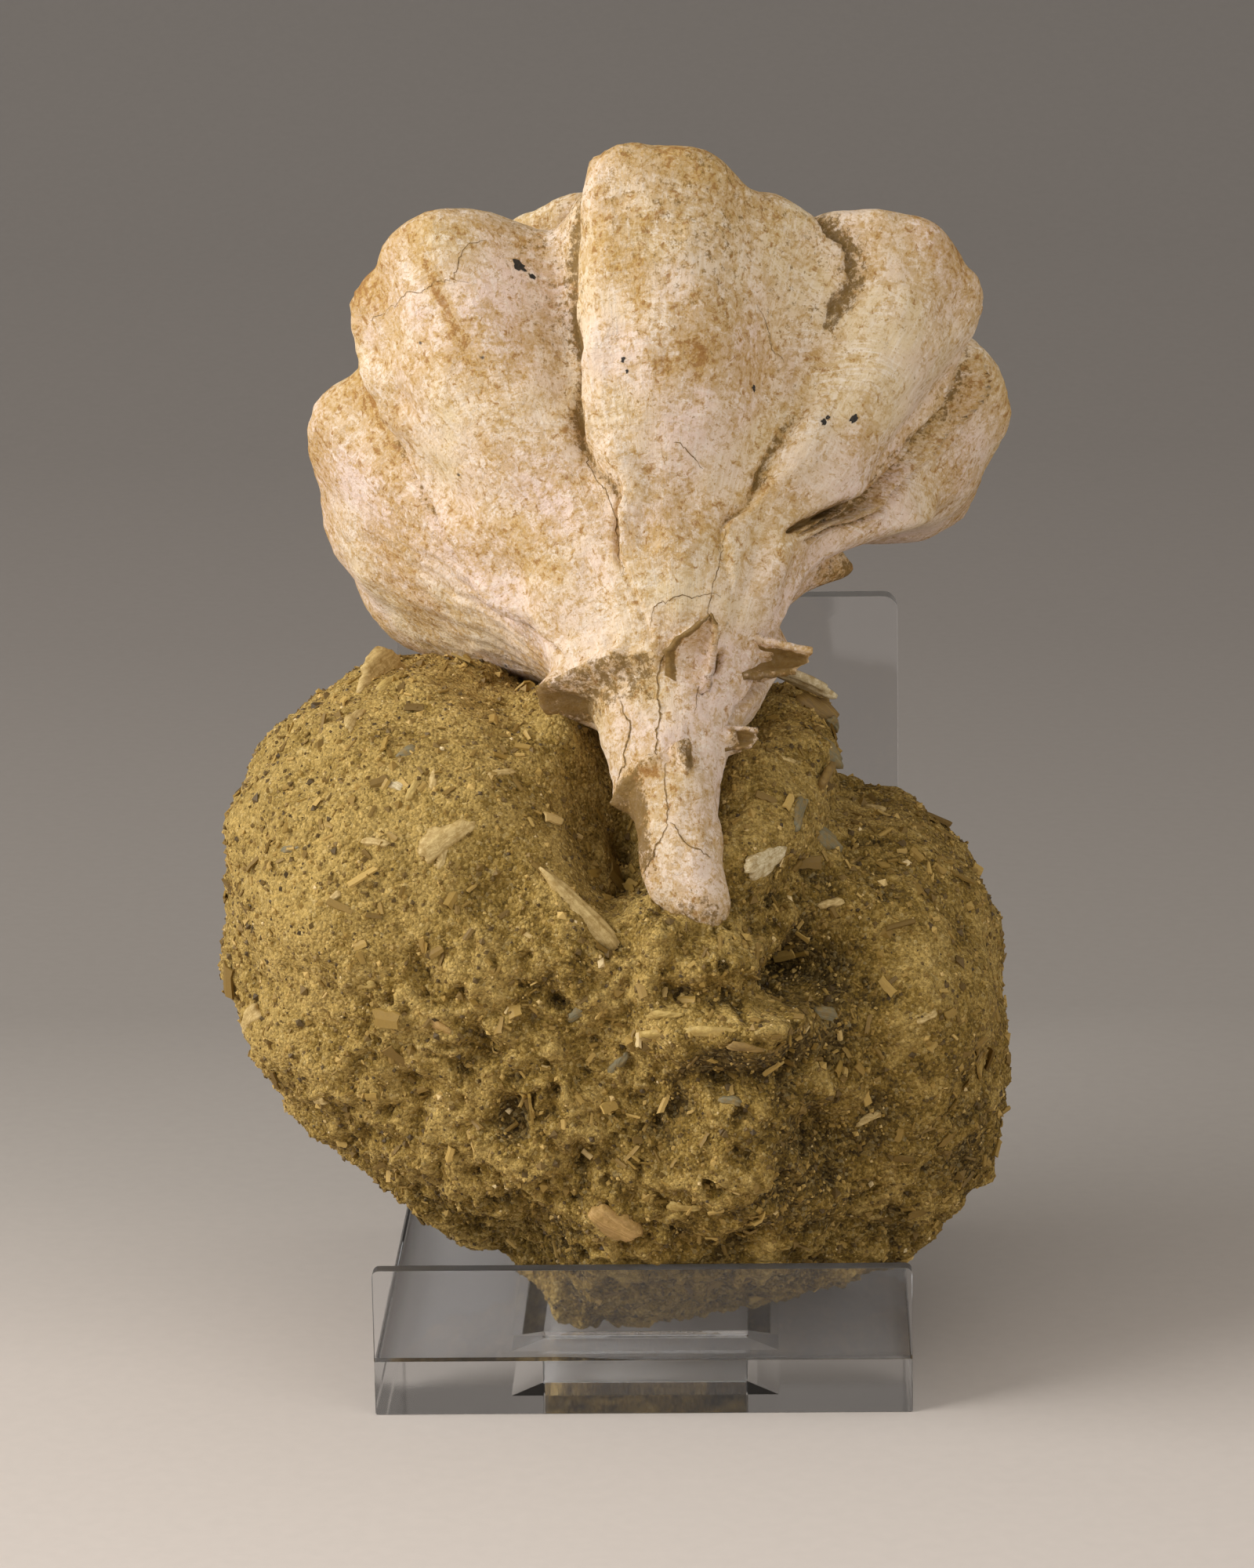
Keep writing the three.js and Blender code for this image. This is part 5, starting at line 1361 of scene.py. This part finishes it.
class BuildGrains(bpy.types.Operator):
    """Scatters loose sand grains and small shell chips over the matrix"""
    bl_idname = "fossil.build_grains"
    bl_label = "Grains and chips"

    def execute(self, context):
        s = context.scene.fossil_rock
        rock = bpy.data.objects["sandstone_matrix"]
        draw = np.random.default_rng(41)
        spots, facing = scattered(rock, s.grains, draw, 5.6)
        right, up = frames(facing, draw)
        # Each grain is a lumpy octahedron
        ends = np.array([[1, 0, 0], [-1, 0, 0], [0, 1, 0], [0, -1, 0], [0, 0, 1], [0, 0, -1]], float)
        sides = np.array([[0, 2, 4], [2, 1, 4], [1, 3, 4], [3, 0, 4], [2, 0, 5], [1, 2, 5], [3, 1, 5],
                          [0, 3, 5]])
        count = len(spots)
        size = s.grain * draw.lognormal(-0.6, 0.45, count)
        local = ends[None] * draw.uniform(0.7, 1.25, (count, 6, 1)) * size[:, None, None]
        points = spots[:, None] + local[..., :1] * right[:, None] + local[..., 1:2] * up[:, None]
        points = points + (local[..., 2:] * 0.8 + 0.1 * size[:, None, None]) * facing[:, None]
        faces = (sides[None] + 6 * np.arange(count)[:, None, None]).reshape(-1, 3)
        tone = np.repeat(draw.beta(1.5, 2.2, count), 6)
        grains = make_mesh("sand_grains", points.reshape(-1, 3), faces, {"tone": tone}, shade_smooth=False)
        settle(grains, "shelly_sandstone", loose_grains())

        spots, facing = scattered(rock, s.chips, draw, 6.5)
        # The chips lie in clusters
        kept = noise(spots, 7, 21) + draw.uniform(-0.5, 0.5, len(spots)) > 0
        spots, facing = spots[kept], facing[kept]
        right, up = frames(facing, draw)
        count = len(spots)
        # Each chip is a thin bent plate of four by two cells with a ragged edge
        across, along = np.meshgrid(np.linspace(-1, 1, 3), np.linspace(-1, 1, 5))
        plate = np.stack([along.ravel(), across.ravel()], axis=-1)
        length = np.minimum(draw.lognormal(-0.8, 0.5, count), 1.5)
        width = length * draw.uniform(0.2, 0.6, count)
        ragged = draw.uniform(0.75, 1.1, (count, 15, 2)) * plate[None]
        bend = draw.uniform(0.1, 0.5, count)[:, None] * (1 - ragged[..., 1] ** 2)
        tilt = np.radians(draw.normal(0, 24, count))[:, None]
        flat = ragged[..., 1] * width[:, None]
        lift = bend * width[:, None]
        x = ragged[..., 0] * length[:, None]
        y = flat * np.cos(tilt) - lift * np.sin(tilt)
        z = flat * np.sin(tilt) + lift * np.cos(tilt)
        thick = 0.05 + 0.05 * length[:, None]
        layers = []
        for face in (1, -1):
            layers.append(spots[:, None] + x[..., None] * right[:, None] + y[..., None] * up[:, None]
                          + (z + face * thick + 0.05)[..., None] * facing[:, None])
        points = np.concatenate(layers, axis=1)
        cell = [(i * 3 + j, i * 3 + j + 1, (i + 1) * 3 + j + 1, (i + 1) * 3 + j) for i in range(4)
                for j in range(2)]
        rim = [0, 3, 6, 9, 12, 13, 14, 11, 8, 5, 2, 1]
        quads = cell + [tuple(k + 15 for k in quad[::-1]) for quad in cell]
        quads += [(a, b, b + 15, a + 15) for a, b in zip(rim, rim[1:] + rim[:1])]
        faces = (np.array(quads)[None] + 30 * np.arange(count)[:, None, None]).reshape(-1, 4)
        tone = np.repeat(0.2 + 0.78 * draw.beta(1.6, 2.5, count), 30)
        chips = make_mesh("shell_chips", points.reshape(-1, 3), faces, {"tone": tone}, shade_smooth=False)
        settle(chips, "shelly_sandstone", bpy.data.materials["Loose sand grains"])
        return {"FINISHED"}


def flake_surface(long, wide, thick, bend, seed, sides=40, rings=7):
    """Curved shell flake with a ragged rim and fine ribs, as places, faces and the distance across it."""
    shares = np.concatenate([np.linspace(0.06, 1, rings), np.linspace(1, 0.06, rings)])
    turn = np.linspace(0, 2 * math.pi, sides, endpoint=False)
    share, a = np.meshgrid(shares, turn, indexing="ij")
    face = np.where(np.arange(len(shares)) < rings, -1, 1)[:, None]
    ragged = (1 + 0.13 * np.sin(3 * a + long * 5) + 0.05 * np.sin(7 * a + seed)
              + 0.04 * np.sin(13 * a + 2 * seed))
    x = long * share * ragged * np.cos(a)
    y = wide * share * ragged * np.sin(a)
    edge = np.clip((1 - share) * 6, 0, 1) ** 0.5
    ribs = 0.06 * np.sin(y * 14 / wide * 0.5 + 3 * share)
    z = face * thick * mix(0.45, 0.95, edge) + ribs * (face > 0) - bend * y * y / (wide * wide)
    places = np.stack([x, y, z], axis=-1).reshape(-1, 3)
    row, side = np.meshgrid(np.arange(len(shares) - 1), np.arange(sides), indexing="ij")
    here, after = row * sides, (side + 1) % sides
    quads = np.stack([here + side, here + after, here + sides + after, here + sides + side], axis=-1)
    ends = len(places)
    middle = np.array([[0, 0, -thick], [0, 0, thick]])
    ring = np.arange(sides)
    last = (len(shares) - 1) * sides
    caps = np.concatenate([np.stack([np.full(sides, ends), (ring + 1) % sides, ring], axis=-1),
                           np.stack([last + ring, last + (ring + 1) % sides, np.full(sides, ends + 1)],
                                    axis=-1)])
    quads = quads.reshape(-1, 4)
    faces = np.concatenate([quads[:, [0, 1, 2]], quads[:, [0, 2, 3]], caps])
    return np.concatenate([places, middle]), faces


def set_in_rock(points, x, z, turn, lift, sink, relief=None):
    """Places a flake on the front of the rock, tilted by lift and turned in the skin's plane."""
    tilted = Matrix.Rotation(math.radians(turn), 3, "Z") @ Matrix.Rotation(math.radians(lift), 3, "X")
    place = rock_front(x, z, relief)
    normal = rock_normal(rock_front(x, z))
    right = SHELL_RIGHT - normal[0] * normal
    right /= np.linalg.norm(right)
    basis = np.stack([right, np.cross(normal, right), normal])
    inward = (ROCK - place) / np.linalg.norm(ROCK - place)
    return points @ np.array(tilted).T @ basis + place + inward * sink


class BuildFragments(bpy.types.Operator):
    """Makes the larger shell fragments that stand out of the matrix"""
    bl_idname = "fossil.build_fragments"
    bl_label = "Shell fragments"

    def execute(self, context):
        looks = {
            "pale": shell_chip("Pale shell fragment", "#CDB276", "#94753A"),
            "white": shell_chip("White shell fragment", "#D6C6A0", "#A08650"),
            "brown": shell_chip("Brown shell fragment", "#8E7038", "#5C431A"),
            "pink": shell_chip("Ribbed shell fragment", "#C09A5C", "#8A642C"),
            "grey": shell_chip("Grey shell fragment", "#7C7355", "#4A4228"),
            "yellow": shell_chip("Yellow shell fragment", "#BFA25A", "#7E6428"),
        }
        for seed, (name, look, x, z, *shape, turn, lift, bend, sink) in enumerate(FRAGMENTS):
            points, faces = flake_surface(*shape, bend, seed)
            placed = set_in_rock(points, x, z, turn, lift, sink)
            piece = make_mesh("piece_" + name, placed, faces, {"across": points[:, 1]})
            settle(piece, "fragment_" + look, looks[look], "fragment_" + name)
        for seed, (x, z, long, wide, turn, lift, look) in enumerate(SMALL_FRAGMENTS):
            points, faces = flake_surface(long, wide, 0.22, 0.3, seed + 0.5, 24, 4)
            placed = set_in_rock(points, x, z, turn, lift + 12, 0.12, rock_relief)
            piece = make_mesh("small_fragment_%d" % (seed + 1), placed, faces, {"across": points[:, 1]})
            settle(piece, "fragment_" + look, looks[look])
        return {"FINISHED"}


class BuildStand(bpy.types.Operator):
    """Dresses the three acrylic sheets of the stand, with broken edges and scratches"""
    bl_idname = "fossil.build_stand"
    bl_label = "Acrylic stand"

    def execute(self, context):
        s = context.scene.fossil_stand
        acrylic = cast_acrylic()
        for node in ("stand_base", "stand_lip", "stand_back"):
            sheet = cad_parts[node].copy()
            sheet.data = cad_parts[node].data.copy()
            sheet.name = "acrylic_" + node[6:]
            sheet.data.materials.clear()
            context.collection.objects.link(sheet)
            sheet.modifiers.new("weld", "WELD").merge_threshold = 0.00001
            bevel = sheet.modifiers.new("bevel", "BEVEL")
            bevel.width, bevel.segments, bevel.limit_method = s.edge, 2, "ANGLE"
            settle(sheet, "clear_acrylic", acrylic, node)
        return {"FINISHED"}


class BuildStage(bpy.types.Operator):
    """Makes the paper floor and backdrop, the lights and the camera"""
    bl_idname = "fossil.build_stage"
    bl_label = "Stage"

    def execute(self, context):
        s = context.scene.fossil_stage
        run = np.array(PAPER_RUN, float)
        sides = (-PAPER_HALF_WIDTH, PAPER_HALF_WIDTH)
        points = np.array([[x, y, z - PAPER_GAP] for y, z in run for x in sides]) - STAND * [1, 1, 0]
        faces = np.array([[2 * i, 2 * i + 1, 2 * i + 3, 2 * i + 2] for i in range(len(run) - 1)])
        floor = make_mesh("floor", points, faces)
        floor.data.materials.append(seamless_paper())

        world = bpy.data.worlds.new("Soft room")
        world.use_nodes = True
        world.node_tree.nodes["Background"].inputs["Color"].default_value = (1.0, 0.97, 0.93, 1)
        world.node_tree.nodes["Background"].inputs["Strength"].default_value = s.room
        context.scene.world = world
        for name, (place, size), power in (("key", KEY_LIGHT, s.key_power),
                                           ("fill", FILL_LIGHT, s.fill_power)):
            lamp = bpy.data.lights.new(name, "AREA")
            lamp.shape, lamp.size, lamp.energy = "SQUARE", size / 1000, power
            light = bpy.data.objects.new(name, lamp)
            light.location = Vector(place) / 1000
            away = light.location - Vector((0, 0, LIT_HEIGHT / 1000))
            light.rotation_euler = away.to_track_quat("Z", "Y").to_euler()
            context.collection.objects.link(light)

        turn, dip, roll = (math.radians(v) for v in (CAMERA_TURN, CAMERA_DIP, CAMERA_ROLL))
        ahead = Vector((-math.sin(turn) * math.cos(dip), math.cos(turn) * math.cos(dip), -math.sin(dip)))
        level = Vector((math.cos(turn), math.sin(turn), 0))
        over = level.cross(ahead)
        right = math.cos(roll) * level + math.sin(roll) * over
        up = math.cos(roll) * over - math.sin(roll) * level
        place = (Vector(CAMERA_AT) + Vector(STAND)) / 1000
        data = bpy.data.cameras.new("photo camera")
        camera = bpy.data.objects.new("photo camera", data)
        rows = [[right[i], up[i], -ahead[i], place[i]] for i in range(3)] + [[0, 0, 0, 1]]
        camera.matrix_world = Matrix(rows)
        data.sensor_fit, data.sensor_width = "AUTO", SENSOR_WIDE
        data.lens = FOCAL_PIXELS * SENSOR_WIDE / IMAGE_HIGH
        data.clip_start, data.clip_end = 0.01, 10
        context.collection.objects.link(camera)
        context.scene.camera = camera
        context.scene.view_settings.view_transform = "Standard"
        return {"FINISHED"}


class FossilPanel(bpy.types.Panel):
    """Buttons that build each piece, and the values that they use"""
    bl_idname = "VIEW3D_PT_fossil"
    bl_label = "Fossil murex"
    bl_space_type = "VIEW_3D"
    bl_region_type = "UI"
    bl_category = "Fossil"

    def draw(self, context):
        for group in ("fossil_shell", "fossil_rock", "fossil_stand", "fossil_stage"):
            box = self.layout.box()
            values = getattr(context.scene, group)
            for name in values.__annotations__:
                box.prop(values, name)
        for operator in OPERATORS:
            self.layout.operator(operator.bl_idname)


GROUPS = {"fossil_shell": FossilShellSettings, "fossil_rock": RockSettings, "fossil_stand": StandSettings,
          "fossil_stage": StageSettings}
OPERATORS = (BuildStage, BuildFossilShell, BuildShellMarks, BuildMatrix, BuildGrains, BuildFragments,
             BuildStand)


def register():
    """Registers the settings, operators and panel."""
    for name, group in GROUPS.items():
        bpy.utils.register_class(group)
        setattr(bpy.types.Scene, name, bpy.props.PointerProperty(type=group))
    for kind in (*OPERATORS, FossilPanel):
        bpy.utils.register_class(kind)


def unregister():
    """Takes them out again."""
    for kind in (FossilPanel, *reversed(OPERATORS)):
        bpy.utils.unregister_class(kind)
    for name, group in GROUPS.items():
        delattr(bpy.types.Scene, name)
        bpy.utils.unregister_class(group)


def main():
    """Builds every piece in order."""
    register()
    bpy.ops.fossil.build_stage()
    bpy.ops.fossil.build_shell()
    bpy.ops.fossil.build_marks()
    bpy.ops.fossil.build_matrix()
    bpy.ops.fossil.build_grains()
    bpy.ops.fossil.build_fragments()
    bpy.ops.fossil.build_stand()


if __name__ == "__main__":
    main()
